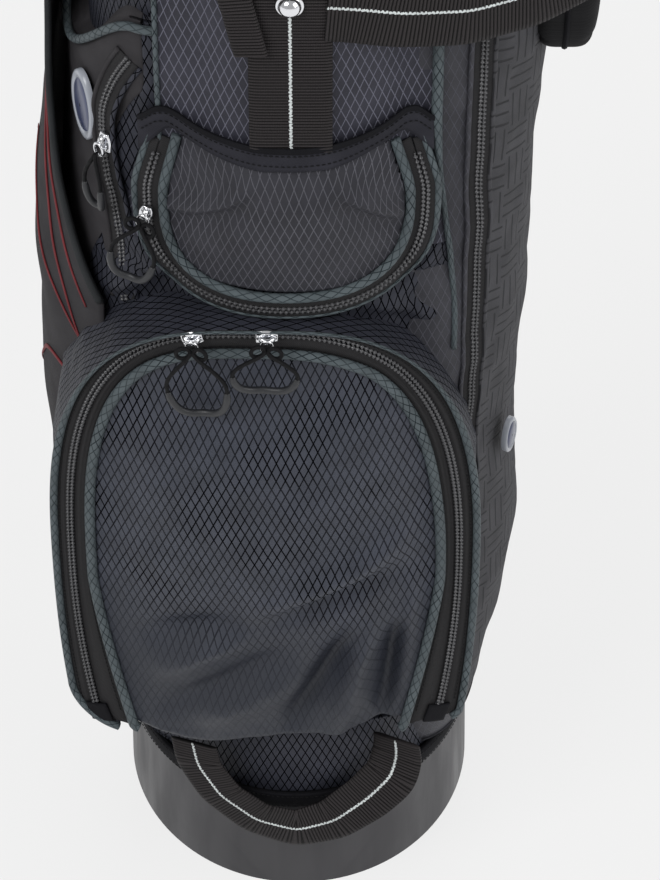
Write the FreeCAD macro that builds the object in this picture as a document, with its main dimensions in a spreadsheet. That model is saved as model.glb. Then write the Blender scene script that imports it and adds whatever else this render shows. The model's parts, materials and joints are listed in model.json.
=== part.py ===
"""Golf stand bag, built as separate sewn, moulded and metal pieces.

Frame: +Z is up, the origin is the middle of the base's underside, the ball pocket faces -Y,
the legs fold against the +Y side, and +X is to the right of someone who looks at the ball pocket.
All sizes are in millimetres and live in the spreadsheet "Sizes".
"""

import FreeCAD, Part
import Sketcher
import math
import os
import re

from FreeCAD import Placement, Rotation, Vector

SIZES = {
    # The trunk is an upright oval tube that widens a little towards the top.
    "base_half_x": 113.75, "base_half_y": 123.4, "base_height": 78.0, "base_wall": 3.5,
    "base_floor": 5.0, "base_draft": 1.5,
    "trunk_low_x": 108.5, "trunk_low_y": 118.0, "trunk_mid_x": 114.0, "trunk_mid_y": 118.3,
    "trunk_top_x": 116.5, "trunk_top_y": 118.5, "trunk_wall": 2.5,
    "trunk_bottom": 64.5, "trunk_middle": 420.0, "trunk_top": 824.0,
    "inner_floor_z": 58.0, "inner_floor_thick": 6.0,
    # Collar, dividers and stays.
    "collar_bottom": 812.0, "collar_top": 888.0, "collar_half_x": 130.0, "collar_half_y": 131.0,
    "collar_step": 827.0, "collar_seat_x": 118.0, "collar_seat_y": 120.0,
    "collar_inner_x": 115.0, "collar_inner_y": 116.0,
    "divider_width": 8.0, "divider_bottom": 850.0, "divider_top": 874.0,
    "panel_thick": 1.2, "panel_half_x": 103.0, "panel_half_y": 112.0,
    "stay_radius": 3.0, "stay_x": 98.0, "stay_y": 22.0,
    # Rear grab handle, moulded with the collar.
    "grab_half_x": 48.0, "grab_reach": 32.0, "grab_bar": 11.0, "grab_bottom": 846.0, "grab_height": 26.0,
    # Layers sewn on the trunk.
    "gap": 0.3, "fabric": 2.0, "webbing_width": 45.0, "webbing_thick": 1.8,
    "front_webbing_bottom": 641.5, "front_webbing_top": 811.0, "stud_radius": 5.5, "stud_z": 742.0,
    # Ball pocket: an arch on the front of a large upright drum.
    "ball_x": -17.0, "ball_half": 129.0, "ball_arch_z": 399.0, "ball_bottom": 160.0, "ball_corner": 34.0,
    "ball_drum": 259.0, "ball_drum_y": 119.0, "ball_back": -20.0,
    "piping_rise": 2.6,
    "zip_width": 8.0, "zip_rise": 1.3, "ball_zip_end_z": 176.0, "seam_lift": 0.1, "side_seam_lift": 0.15,
    # How far in from a pocket's outline the piping ends, and the band of zip tape and inner piping runs.
    "piping_width": 4.0, "ball_coil_inset": 12.2, "small_coil_inset": 10.2, "tape_start": 4.4,
    "ball_tape_end": 20.1, "ball_inner_piping": 20.5, "ball_band": 24.0,
    "ball_panel_inset": 24.3, "band_corner": 20.0, "band_outer_corner": 22.0,
    "patch_length": 12.0, "patch_half": 7.0, "patch_rise": 1.8, "patch_gap": 0.4,
    "small_tape_end": 16.1, "small_inner_piping": 16.5, "small_band": 20.0,
    "small_binding_height": 11.7, "small_binding_inset": 16.0, "small_binding_rise": 2.2,
    "small_seam_drop": 12.0,
    # Valuables pocket: a round-bottomed pocket on the front of a smaller drum.
    "small_x": -2.0, "small_half": 88.0, "small_arch_z": 617.5, "small_top": 641.0,
    "small_drum": 110.0, "small_drum_y": -18.5,
    # Side pockets stand on ovals set off to each side.
    "side_offset": 72.0, "apparel_top": 745.0, "side_top": 795.0,
    "side_zip_low": 330.0, "side_zip_high": 786.0, "apparel_zip_low": 480.0, "apparel_zip_high": 700.0,
    "side_zip_x": 105.0, "side_zip_y": -86.0, "apparel_zip_x": -101.0, "apparel_zip_y": -83.0,
    "badge_left_radius": 13.0, "badge_right_radius": 11.0,
    # Lower carry handle.
    "handle_x": 4.0, "handle_z": 138.0, "handle_y": -121.0, "handle_radius": 72.0, "handle_tilt": 15.0,
    "handle_thick": 2.4,
    # Stand: legs, links, sliding rod and base lever.
    "pivot_x": 62.0, "pivot_y": 122.0, "pivot_z": 788.0, "swing_azimuth": 42.0,
    "leg_radius": 6.0, "leg_wall": 1.0, "leg_length": 672.0, "foot_radius": 9.0, "foot_length": 46.0,
    "head_radius": 7.5, "head_width": 12.0, "pin_radius": 3.0, "running": 0.05,
    "link_length": 100.0, "link_inset": 12.0, "link_plane": 11.2, "link_thick": 3.6, "link_width": 15.0,
    "link_slot": 12.0, "link_slot_width": 10.0, "stub_radius": 2.0, "stub_hole": 2.5,
    "clip_radius": 9.0, "clip_length": 22.0,
    "rod_radius": 3.0, "rod_y": 131.0, "rod_bottom": 12.5,
    "lever_hinge_y": 56.0, "lever_hinge_z": 8.0, "lever_half_x": 24.0, "lever_tip_y": 137.0,
    "lever_pin": 2.5, "notch_half_x": 27.0, "notch_top": 54.0,
    "spine_half_x": 26.0, "spine_y": 120.5, "spine_thick": 3.0, "spine_bottom": 84.0, "spine_top": 770.0,
    "bracket_half_x": 84.0, "bracket_bottom": 798.0, "bracket_thick": 13.0, "bracket_y": 132.0,
    "ear_thick": 4.0, "screw_radius": 2.0,
    "guide_low_z": 112.0, "guide_high_z": 430.0, "guide_height": 12.0,
    "hip_half_x": 46.0, "hip_bottom": 180.0, "hip_height": 220.0, "hip_thick": 26.0,
    # Zip sliders and their pulls.
    "slider_long": 11.0, "slider_wide": 9.0, "slider_thick": 4.0, "slider_lift": 0.4,
    "ball_left_turn": -19.1, "ball_right_turn": 1.4, "small_turn": -67.3,
    "apparel_slider_z": 621.0, "side_slider_z": 768.0,
    "pull_long": 52.0, "pull_wide": 22.0, "ball_pull_wide": 34.0, "pull_thick": 4.0, "pull_bar": 4.5,
    "pull_bore": 1.3,
    # Shoulder strap.
    "strap_z": 731.0, "strap_start_x": 23.0, "strap_start_y": -121.0, "strap_joint_x": 112.0,
    "strap_joint_y": -105.0, "strap_pad_x": 176.0, "strap_pad_y": -72.0,
    "pad_edge_x": 163.5, "pad_edge_y": -47.5,
    "pad_width": 62.0, "pad_thick": 15.0, "pad_long": 230.0,
    "strap_rear_x": 114.6, "strap_rear_y": 90.0, "strap_rear_end_x": 138.0, "strap_rear_end_y": 64.0,
    "strap_rear_z": 835.0, "strap_rear_width": 26.0,
}

doc = FreeCAD.newDocument("golf_stand_bag")
sheet = doc.addObject("Spreadsheet::Sheet", "Sizes")
for row, (alias, number) in enumerate(SIZES.items(), start=1):
    sheet.set(f"A{row}", alias)
    sheet.set(f"B{row}", str(number))
    sheet.setAlias(f"B{row}", alias)
doc.recompute()

node_objects = {}


def cells(text):
    """Turns the plain words of an expression into references to the sheet's cells."""
    return re.sub(r"[a-z_]\w*",
                  lambda word: f"Sizes.{word.group()}" if word.group() in SIZES else word.group(), str(text))


def size(alias):
    """The sheet's number for an alias."""
    return float(sheet.get(alias))


def bind(item, **expressions):
    """Ties properties of an object to the sheet."""
    for prop, text in expressions.items():
        item.setExpression(prop, cells(text))


def place(item, x=0, y=0, z=0, axis=None, angle=0):
    """Stands an object at sheet-driven coordinates, turned by a fixed angle about an axis."""
    if axis:
        item.Placement.Rotation = Rotation(Vector(*axis), angle)
    for letter, text in zip("xyz", (x, y, z)):
        item.setExpression(f"Placement.Base.{letter}", cells(text))
    return item


def node(item, name):
    """Marks an object as a finished sub-part: its Label names its file."""
    item.Label = name
    node_objects[name] = item
    return item


def fresh(kind, name):
    """Adds a helper object with a name of its own."""
    return doc.addObject(kind, name)


def box(name, low, high):
    """A box between two corners, each given as three expressions."""
    item = fresh("Part::Box", name)
    bind(item, Length=f"({high[0]}) - ({low[0]})", Width=f"({high[1]}) - ({low[1]})",
         Height=f"({high[2]}) - ({low[2]})")
    return place(item, *low)


def cylinder(name, radius, height, x=0, y=0, z=0, axis=None, angle=0):
    """A cylinder that starts at x, y, z and runs along +Z unless it is turned."""
    item = fresh("Part::Cylinder", name)
    bind(item, Radius=radius, Height=height)
    return place(item, x, y, z, axis, angle)


def along_y(name, radius, start, end, x, z):
    """A cylinder along +Y between two Y values."""
    return cylinder(name, radius, f"({end}) - ({start})", x, start, z, axis=(1, 0, 0), angle=-90)


def along_x(name, radius, start, end, y, z):
    """A cylinder along +X between two X values."""
    return cylinder(name, radius, f"({end}) - ({start})", start, y, z, axis=(0, 1, 0), angle=90)


def cut(name, base, tool):
    """The base with the tool's shape taken away."""
    item = fresh("Part::Cut", name)
    item.Base = base
    item.Tool = tool
    return item


def cut_each(name, base, *tools):
    """The base with several tools taken away one after another."""
    for number, tool in enumerate(tools):
        base = cut(f"{name}_{number}", base, tool)
    return base


def common(name, first, second):
    """What two shapes share."""
    item = fresh("Part::Common", name)
    item.Base = first
    item.Tool = second
    return item


def fuse(name, *shapes):
    """Several shapes joined into one."""
    item = fresh("Part::MultiFuse", name)
    item.Shapes = list(shapes)
    return item


def group(name, *shapes):
    """Several separate solids kept together."""
    item = fresh("Part::Compound", name)
    item.Links = list(shapes)
    return item


def oval_loft(name, sections):
    """A smooth solid through flat ovals, each given as (z, centre x, half width in x, half width in y)."""
    rings = []
    for number, (z, centre, half_x, half_y) in enumerate(sections):
        ring = fresh("Part::Ellipse", f"{name}_ring_{number}")
        bind(ring, MajorRadius=half_y, MinorRadius=half_x)
        place(ring, centre, 0, z, axis=(0, 0, 1), angle=90)
        rings.append(ring)
    loft = fresh("Part::Loft", name)
    loft.Sections = rings
    loft.Solid = True
    loft.Ruled = len(rings) == 2
    return loft


def trunk(name, grow, bottom="trunk_bottom", top="trunk_top"):
    """The trunk's outline as a solid, grown outwards by a distance."""
    return oval_loft(name, [
        (bottom, 0, f"trunk_low_x + ({grow})", f"trunk_low_y + ({grow})"),
        ("trunk_middle", 0, f"trunk_mid_x + ({grow})", f"trunk_mid_y + ({grow})"),
        (top, 0, f"trunk_top_x + ({grow})", f"trunk_top_y + ({grow})"),
    ])


def side_loft(name, profile, sign, grow):
    """A side pocket's outline as a solid: profile rows are (z, half width in x, half width in y)."""
    return oval_loft(name, [
        (z, f"{sign} * side_offset", f"{half_x} + ({grow})", f"{half_y} + ({grow})")
        for z, half_x, half_y in profile
    ])


def arch_prism(name, x, half, arch_z, low_z, corner, upward=True):
    """An upright plate as deep as the bag: a half disc with a straight tail and rounded tail corners."""
    tail_low, tail_high = (low_z, arch_z) if upward else (arch_z, low_z)
    block = box(f"{name}_tail", (f"{x} - ({half})", "-200", tail_low), (f"{x} + ({half})", "0", tail_high))
    if corner:
        doc.recompute()
        edge_z = size(low_z) if low_z in SIZES else read_sum(low_z)
        rounded = fresh("Part::Fillet", f"{name}_rounded")
        rounded.Base = block
        rounded.Edges = [(index, corner, corner) for index in edges_along_y(block.Shape, edge_z)]
        block = rounded
    disc = along_y(f"{name}_disc", half, "-200", "0", x, arch_z)
    return fuse(name, block, disc)


def read_sum(text):
    """Reads a simple sum of cells, such as "ball_bottom + 4", as a number."""
    total = 0.0
    sign = 1.0
    for word in re.findall(r"[+-]|[\w.]+", str(text)):
        if word in "+-":
            sign = -1.0 if word == "-" else 1.0
        else:
            total += sign * (size(word) if word in SIZES else float(word))
            sign = 1.0
    return total


def edges_along_y(shape, z):
    """Numbers of the edges that run along Y at a height."""
    found = []
    for index, edge in enumerate(shape.Edges, start=1):
        start, end = edge.Vertexes[0].Point, edge.Vertexes[-1].Point
        if abs(start.z - z) < 0.01 and abs(end.z - z) < 0.01 and abs(start.x - end.x) < 0.01:
            found.append(index)
    return found


# ---------------------------------------------------------------- base

def build_base():
    """The moulded cup that the bag stands on, its inner floor and the binding at its rim."""
    outer = oval_loft("cup_outer", [
        (0, 0, "base_half_x", "base_half_y"),
        ("base_height", 0, "base_half_x - base_draft", "base_half_y - base_draft")])
    inner = oval_loft("cup_inner", [
        ("base_floor", 0, "base_half_x - base_wall", "base_half_y - base_wall"),
        ("base_height + 1", 0, "base_half_x - base_wall - base_draft",
         "base_half_y - base_wall - base_draft")])
    notch = box("cup_notch", ("-notch_half_x", "lever_hinge_y - 9", "-1"),
                ("notch_half_x", "150", "notch_top"))
    lugs = []
    for side in (-1, 1):
        lug = box(f"cup_lug_{side}", (f"{side} * 31.5 - 3.5", "lever_hinge_y - 7", "base_floor"),
                  (f"{side} * 31.5 + 3.5", "lever_hinge_y + 7", "lever_hinge_z + 8"))
        lugs.append(lug)
    shelf_outer = oval_loft("cup_shelf_outer", [
        ("inner_floor_z - 4", 0, "base_half_x - base_wall - 0.9", "base_half_y - base_wall - 0.9"),
        ("inner_floor_z - gap", 0, "base_half_x - base_wall - 0.9", "base_half_y - base_wall - 0.9")])
    shelf_inner = oval_loft("cup_shelf_inner", [
        ("inner_floor_z - 5", 0, "base_half_x - base_wall - 6", "base_half_y - base_wall - 6"),
        ("inner_floor_z + 1", 0, "base_half_x - base_wall - 6", "base_half_y - base_wall - 6")])
    shelf = cut("cup_shelf", shelf_outer, shelf_inner)
    wall = cut("cup_wall", outer, inner)
    body = cut("cup_open", fuse("cup_joined", wall, shelf), notch)
    pin_hole = along_x("cup_pin_hole", "lever_pin + 0.02", -40, 40, "lever_hinge_y", "lever_hinge_z")
    node(cut("base_cup_solid", fuse("cup_with_lugs", body, *lugs), pin_hole), "base_cup")

    plate = oval_loft("floor_plate", [
        ("inner_floor_z", 0, "base_half_x - base_wall - 2.4", "base_half_y - base_wall - 2.4"),
        ("inner_floor_z + inner_floor_thick", 0, "base_half_x - base_wall - 2.4",
         "base_half_y - base_wall - 2.4")])
    node(plate, "inner_floor")

    rim_outer = oval_loft("rim_outer", [
        ("base_height + gap", 0, "base_half_x - 0.5", "base_half_y - 0.5"),
        ("base_height + 6", 0, "base_half_x - 0.9", "base_half_y - 0.9")])
    node(cut("rim_band", rim_outer, trunk("rim_inner", "gap")), "base_rim_binding")


def build_trunk():
    """The sewn tube, its full-length dividers, the two stays and the rear spine plate."""
    outer = trunk("trunk_outer", "0")
    inner = trunk("trunk_inner", "-trunk_wall", bottom="trunk_bottom - 1", top="trunk_top + 1")
    node(cut("trunk_tube", outer, inner), "body_shell")

    across = box("panel_across", ("-panel_half_x", "-panel_thick / 2", "inner_floor_z + 7"),
                 ("panel_half_x", "panel_thick / 2", "divider_bottom - 1"))
    along = box("panel_along", ("-panel_thick / 2", "-panel_half_y", "inner_floor_z + 7"),
                ("panel_thick / 2", "panel_half_y", "divider_bottom - 1"))
    node(fuse("panel_cross", across, along), "divider_panels")

    stays = [cylinder(f"stay_{side}", "stay_radius", "collar_bottom - inner_floor_z - 20", f"{side} * stay_x",
                      "stay_y", "inner_floor_z + 7") for side in (-1, 1)]
    node(group("stay_pair", *stays), "body_stays")

    spine = box("spine", ("-spine_half_x", "spine_y", "spine_bottom"),
                ("spine_half_x", "spine_y + spine_thick", "spine_top"))
    node(spine, "spine_plate")


def build_collar():
    """The moulded top ring with its rear grab handle, and the cross that parts the clubs."""
    outer = oval_loft("collar_outer", [
        ("collar_bottom", 0, "collar_half_x - 2", "collar_half_y - 2"),
        ("collar_top", 0, "collar_half_x", "collar_half_y")])
    seat = oval_loft("collar_seat", [
        ("collar_bottom - 1", 0, "collar_seat_x", "collar_seat_y"),
        ("collar_step", 0, "collar_seat_x", "collar_seat_y")])
    throat = oval_loft("collar_throat", [
        ("collar_step - 1", 0, "collar_inner_x", "collar_inner_y"),
        ("collar_top + 1", 0, "collar_inner_x", "collar_inner_y")])
    ring = cut("collar_ring", outer, fuse("collar_hollow", seat, throat))

    bar = box("grab_bar_block", ("-grab_half_x", "100", "grab_bottom"),
              ("grab_half_x", "collar_half_y + grab_reach", "grab_bottom + grab_height"))
    hole = box("grab_hole", ("-grab_half_x + grab_bar", "99", "grab_bottom - 1"),
               ("grab_half_x - grab_bar", "collar_half_y + grab_reach - grab_bar",
                "grab_bottom + grab_height + 1"))
    clear = oval_loft("grab_clear", [
        ("grab_bottom - 2", 0, "collar_half_x - 6", "collar_half_y - 6"),
        ("grab_bottom + grab_height + 2", 0, "collar_half_x - 6", "collar_half_y - 6")])
    grab = cut("grab_loop", cut("grab_frame", bar, hole), clear)
    lug = box("strap_lug", ("collar_half_x * 0.70", "collar_half_y * 0.62", "832"),
              ("collar_half_x * 0.70 + 22", "collar_half_y * 0.62 + 16", "838"))
    lug_cut = cut("strap_lug_trim", lug, oval_loft("lug_clear", [
        ("830", 0, "collar_half_x - 5", "collar_half_y - 5"), ("840", 0, "collar_half_x - 5",
                                                               "collar_half_y - 5")]))
    holes = group("collar_screw_holes", *[
        cylinder(f"collar_screw_hole_{number}", "screw_radius + 0.02", 12, x, y, "collar_bottom - 1")
        for number, (x, y) in enumerate(screw_places())])
    node(cut("collar_solid", fuse("collar_joined", ring, grab, lug_cut), holes), "top_collar")

    across = box("cross_across", ("-collar_inner_x", "-divider_width / 2", "divider_bottom"),
                 ("collar_inner_x", "divider_width / 2", "divider_top"))
    along = box("cross_along", ("-divider_width / 2", "-collar_inner_y", "divider_bottom"),
                ("divider_width / 2", "collar_inner_y", "divider_top"))
    limit = oval_loft("cross_limit", [
        ("divider_bottom", 0, "collar_inner_x - gap", "collar_inner_y - gap"),
        ("divider_top", 0, "collar_inner_x - gap", "collar_inner_y - gap")])
    node(common("cross_solid", fuse("cross_bars", across, along), limit), "divider_cross")


def screw_places():
    """Where the four bracket screws enter the collar."""
    middle_x = size("collar_half_x") - 6.5
    middle_y = size("collar_half_y") - 6.0
    return [(x, middle_y * math.sqrt(1 - (x / middle_x) ** 2)) for x in (-45, -18, 18, 45)]


# ---------------------------------------------------------------- pockets

def drum(name, x, y, radius, grow):
    """An upright drum as high as the bag, grown by a distance."""
    return cylinder(name, f"{radius} + ({grow})", 900, x, y, 0)


def drum_layer(name, x, y, radius, low, high):
    """A thin layer that follows a drum's face, between two heights above it."""
    return cut(name, drum(f"{name}_over", x, y, radius, high), drum(f"{name}_under", x, y, radius, low))


def straight_zip(half_x, zip_x, zip_y):
    """Half width in y of the oval through a side pocket's zip, so that the zip runs straight up."""
    across = (abs(size(zip_x)) - size("side_offset")) / half_x
    return round(abs(size(zip_y)) / math.sqrt(1 - across ** 2), 2)


# Side pocket outlines, from the bottom up: height, half width in x, half width in y.
APPAREL = [(92, 42, 80), (150, 58, 92)]
APPAREL += [(z, half, straight_zip(half, "apparel_zip_x", "apparel_zip_y"))
            for z, half in ((300, 67), (480, 70), (600, 59), (700, 51))]
APPAREL += [("apparel_top", 45, 94)]
SLASH = [(140, 56, 91), (200, 68, 94.5), (300, 80, 96), (480, 84, 95), (600, 72, 98), (700, 63, 99),
         (760, 60, 98)]
SIDE = [(92, 46, 80), (150, 58, 92)]
SIDE += [(z, half, straight_zip(half, "side_zip_x", "side_zip_y"))
         for z, half in ((240, 68), (330, 62), (480, 67), (640, 73), (740, 70))]
SIDE += [("side_top", 62, 101.5)]


def obstacles():
    """What the front pockets are sewn onto: the trunk, the slash panel and both side pockets."""
    return [trunk("seam_trunk", "gap"), side_loft("seam_slash", SLASH, -1, "gap"),
            side_loft("seam_apparel", APPAREL, -1, "gap"), side_loft("seam_side", SIDE, 1, "gap")]


def build_ball_pocket(blocked):
    """The big front pocket: gusseted shell, arched front panel, zip, pipings and the zip's end patches."""
    ball = ("ball_x", "ball_drum_y", "ball_drum")

    def plate(name, inset, corner):
        return arch_prism(name, "ball_x", f"ball_half - ({inset})", "ball_arch_z", f"ball_bottom + {inset}",
                          corner)

    corner = size("ball_corner")
    behind = box("ball_behind", ("-200", "ball_back", "0"), ("200", "300", "900"))
    outside = common("ball_outside", drum("ball_face", *ball, "0"), plate("ball_plate", 0, corner))
    inside = common("ball_inside", drum("ball_face_inner", *ball, "-fabric"),
                    plate("ball_plate_inner", "fabric", corner - size("fabric")))
    shell = cut("ball_shell_box", outside, inside)
    band_corner, outer_corner = size("band_corner"), size("band_outer_corner")
    window = plate("ball_window", "ball_band", band_corner)
    trimmed = cut_each("ball_shell_trim", shell, window, behind, *blocked)
    node(trimmed, "ball_pocket_shell")

    skin = drum_layer("ball_skin", *ball, "-fabric", "0")
    panel_plate = plate("ball_panel_plate", "ball_panel_inset", band_corner)
    node(common("ball_panel", skin, panel_plate), "ball_pocket_panel")

    raised = drum_layer("ball_piping_layer", *ball, "seam_lift", "piping_rise")
    piping_corner = corner - size("piping_width")
    outer_ring = cut("ball_outer_ring", plate("ball_outer_edge", 0, corner),
                     plate("ball_outer_hole", "piping_width", piping_corner))
    inner_ring = cut("ball_inner_ring", plate("ball_inner_edge", "ball_inner_piping", outer_corner),
                     plate("ball_inner_hole", "ball_band", band_corner))
    node(common("ball_piping", raised, fuse("ball_rings", outer_ring, inner_ring)), "ball_pocket_piping")

    tape_band = cut("ball_tape_band", plate("ball_tape_edge", "tape_start", piping_corner),
                    plate("ball_tape_hole", "ball_tape_end", outer_corner))
    above_ends = box("ball_tape_reach", ("-200", "-200", "ball_zip_end_z"), ("200", "0", "600"))
    tape_layer = drum_layer("ball_tape_layer", *ball, "seam_lift", "zip_rise")
    node(common("ball_tape", common("ball_tape_flat", tape_layer, tape_band), above_ends), "ball_pocket_zip")

    patches = []
    for side in (-1, 1):
        middle = f"ball_x + {side} * (ball_half - ball_coil_inset)"
        patches.append(box(f"ball_patch_{side}",
                           (f"{middle} - patch_half", "-200", "ball_zip_end_z - patch_length"),
                           (f"{middle} + patch_half", "0", "ball_zip_end_z - patch_gap")))
    layer = drum_layer("ball_patch_layer", *ball, "seam_lift", "patch_rise")
    patch_layer = common("ball_patch_raised", layer, tape_band)
    node(common("ball_patches", patch_layer, fuse("ball_patch_pair", *patches)), "ball_zip_end_patches")


def build_valuables_pocket(blocked):
    """The small round-bottomed pocket above the ball pocket."""
    small = ("small_x", "small_drum_y", "small_drum")

    def plate(name, inset):
        return arch_prism(name, "small_x", f"small_half - ({inset})", "small_arch_z", "small_top", 0,
                          upward=False)

    low_part = box("small_low_part", ("-200", "-200", "400"), ("200", "0", "small_top"))
    outside = common("small_outside", drum("small_face", *small, "0"),
                     common("small_low_plate", plate("small_plate", 0), low_part))
    inside_plate = common("small_inside_plate", plate("small_plate_inner", "fabric"),
                          box("small_below_top", ("-200", "-200", "400"), ("200", "0", "small_top - fabric")))
    inside = common("small_inside", drum("small_face_inner", *small, "-fabric"), inside_plate)
    node(cut_each("small_shell", cut("small_shell_box", outside, inside), *blocked), "valuables_pocket")

    piping_layer = drum_layer("small_piping_layer", *small, "seam_lift", "piping_rise")
    outer_ring = cut("small_outer_ring", plate("small_outer_edge", 0),
                     plate("small_outer_hole", "piping_width"))
    inner_ring = cut("small_inner_ring", plate("small_inner_edge", "small_inner_piping"),
                     plate("small_inner_hole", "small_band"))
    below_binding = box("small_piping_reach", ("-200", "-200", "400"),
                        ("200", "0", "small_top - small_seam_drop"))
    rings = common("small_rings_low", fuse("small_rings", outer_ring, inner_ring), below_binding)
    node(cut_each("small_piping", common("small_piping_raised", piping_layer, rings), *blocked),
         "valuables_piping")

    tape_band = cut("small_tape_band", plate("small_tape_edge", "tape_start"),
                    plate("small_tape_hole", "small_tape_end"))
    tape_reach = box("small_tape_reach", ("-200", "-200", "400"), ("200", "0", "small_top - small_seam_drop"))
    tape_low = common("small_tape_low", tape_band, tape_reach)
    tape_layer = drum_layer("small_tape_layer", *small, "seam_lift", "zip_rise")
    node(cut_each("small_tape", common("small_tape_raised", tape_layer, tape_low), *blocked), "valuables_zip")

    strip = box("small_binding_strip",
                ("small_x - small_half + small_binding_inset", "-200", "small_top - small_binding_height"),
                ("small_x + small_half - small_binding_inset", "0", "small_top"))
    layer = drum_layer("small_binding_layer", *small, "seam_lift", "small_binding_rise")
    node(cut_each("small_binding", common("small_binding_raised", layer, strip), *blocked),
         "valuables_binding")


def hollow_side(name, profile, sign, tools):
    """A sewn side pocket: the outline's skin, open where it lies on the trunk."""
    outer = side_loft(f"{name}_out", profile, sign, "0")
    inner_profile = list(profile)
    for row, shift in ((0, "+ fabric"), (-1, "- fabric")):
        z, half_x, half_y = profile[row]
        inner_profile[row] = (f"{z} {shift}", half_x, half_y)
    inner = side_loft(f"{name}_in", inner_profile, sign, "-fabric")
    return cut_each(name, outer, inner, *tools)


def side_layer(name, profile, sign, low, high):
    """A thin layer that follows a side pocket's skin, between two heights above it."""
    return cut(name, side_loft(f"{name}_over", profile, sign, high), side_loft(f"{name}_under", profile,
                                                                               sign, low))


def build_apparel_pocket():
    """The long left pocket, its zip, and the open slash panel outside it."""
    node(hollow_side("apparel_skin", APPAREL, -1, [trunk("apparel_trunk", "gap")]), "apparel_pocket")

    zip_box = box("apparel_zip_box", ("-200", "apparel_zip_y - zip_width / 2 - 2", "apparel_zip_low"),
                  ("-75", "apparel_zip_y + zip_width / 2 + 2", "apparel_zip_high"))
    layer = side_layer("apparel_zip_layer", APPAREL, -1, "side_seam_lift", "zip_rise")
    node(common("apparel_zip_strip", layer, zip_box), "apparel_zip")

    slash_outer = side_loft("slash_outer", SLASH, -1, "0")
    slash_gap = side_loft("slash_gap", [(z if row else "140 + 3", a, b) for row,
                                        (z, a, b) in enumerate(SLASH)], -1, "-fabric")
    pocket = side_loft("slash_pocket", APPAREL, -1, "gap")
    mouth = fresh("Part::Box", "slash_mouth")
    mouth.Length, mouth.Width, mouth.Height = 300, 900, 300
    mouth.Placement = Placement(Vector(-300, -30, 656), Rotation(Vector(1, 0, 0), 72.1)).multiply(
        Placement(Vector(0, -450, 0), Rotation()))
    reach = box("slash_reach", ("-300", "-86", "0"), ("-60", "84", "900"))
    panel = cut_each("slash_skin", common("slash_sheet", slash_outer, reach), mouth, slash_gap, pocket)
    node(panel, "slash_panel")


def build_side_pocket():
    """The long right pocket and its upright zip."""
    node(hollow_side("side_skin", SIDE, 1, [trunk("side_trunk", "gap")]), "side_pocket")
    zip_box = box("side_zip_box", ("75", "side_zip_y - zip_width / 2 - 1", "side_zip_low"),
                  ("200", "side_zip_y + zip_width / 2 + 1", "side_zip_high"))
    blocked = arch_prism("side_zip_ball", "ball_x", "ball_half + gap", "ball_arch_z", "ball_bottom - 5", 0)
    layer = side_layer("side_zip_layer", SIDE, 1, "side_seam_lift", "zip_rise")
    strip = common("side_zip_strip", layer, zip_box)
    node(cut("side_zip_clear", strip, blocked), "side_zip")


def badge(name, profile, sign, surface_point, outward, radius):
    """A thin round plate that follows a side pocket's skin."""
    disc = fresh("Part::Cylinder", f"{name}_disc")
    bind(disc, Radius=radius)
    disc.Height = 50
    inner_end = surface_point.sub(Vector(outward).multiply(25))
    disc.Placement = Placement(inner_end, Rotation(Vector(0, 0, 1), outward))
    return common(name, side_layer(f"{name}_layer", profile, sign, 0.2, 1.4), disc)


def build_badges():
    """A blank round badge on each side pocket."""
    left = badge("badge_left", APPAREL, -1, Vector(-115.5, -62, 640), Vector(-0.903, -0.429, 0),
                 "badge_left_radius")
    right = badge("badge_right", SIDE, 1, Vector(129, -50, 352), Vector(0.9, -0.43, 0), "badge_right_radius")
    node(group("badge_pair", left, right), "blank_badges")


def build_front_webbing():
    """The upright webbing on the front panel and its domed stud."""
    layer = cut("webbing_layer", trunk("webbing_over", "gap + webbing_thick"), trunk("webbing_under", "gap"))
    strip = box("webbing_strip", ("-webbing_width / 2", "-200", "front_webbing_bottom"),
                ("webbing_width / 2", "-60", "front_webbing_top"))
    node(common("webbing_solid", layer, strip), "front_webbing")

    face = "-trunk_top_y - gap - webbing_thick"
    flange = along_y("stud_flange", "stud_radius", f"{face} - 1.4", f"{face} - 0.2", 0, "stud_z")
    dome = fresh("Part::Sphere", "stud_ball")
    bind(dome, Radius="stud_radius - 0.8")
    place(dome, 0, f"{face} - 1.4", "stud_z")
    ahead = box("stud_ahead", ("-20", "-200", "stud_z - 20"), ("20", f"{face} - 0.9", "stud_z + 20"))
    node(fuse("stud_solid", flange, common("stud_dome", dome, ahead)), "webbing_stud")


# ---------------------------------------------------------------- lower handle and shoulder strap

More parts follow.
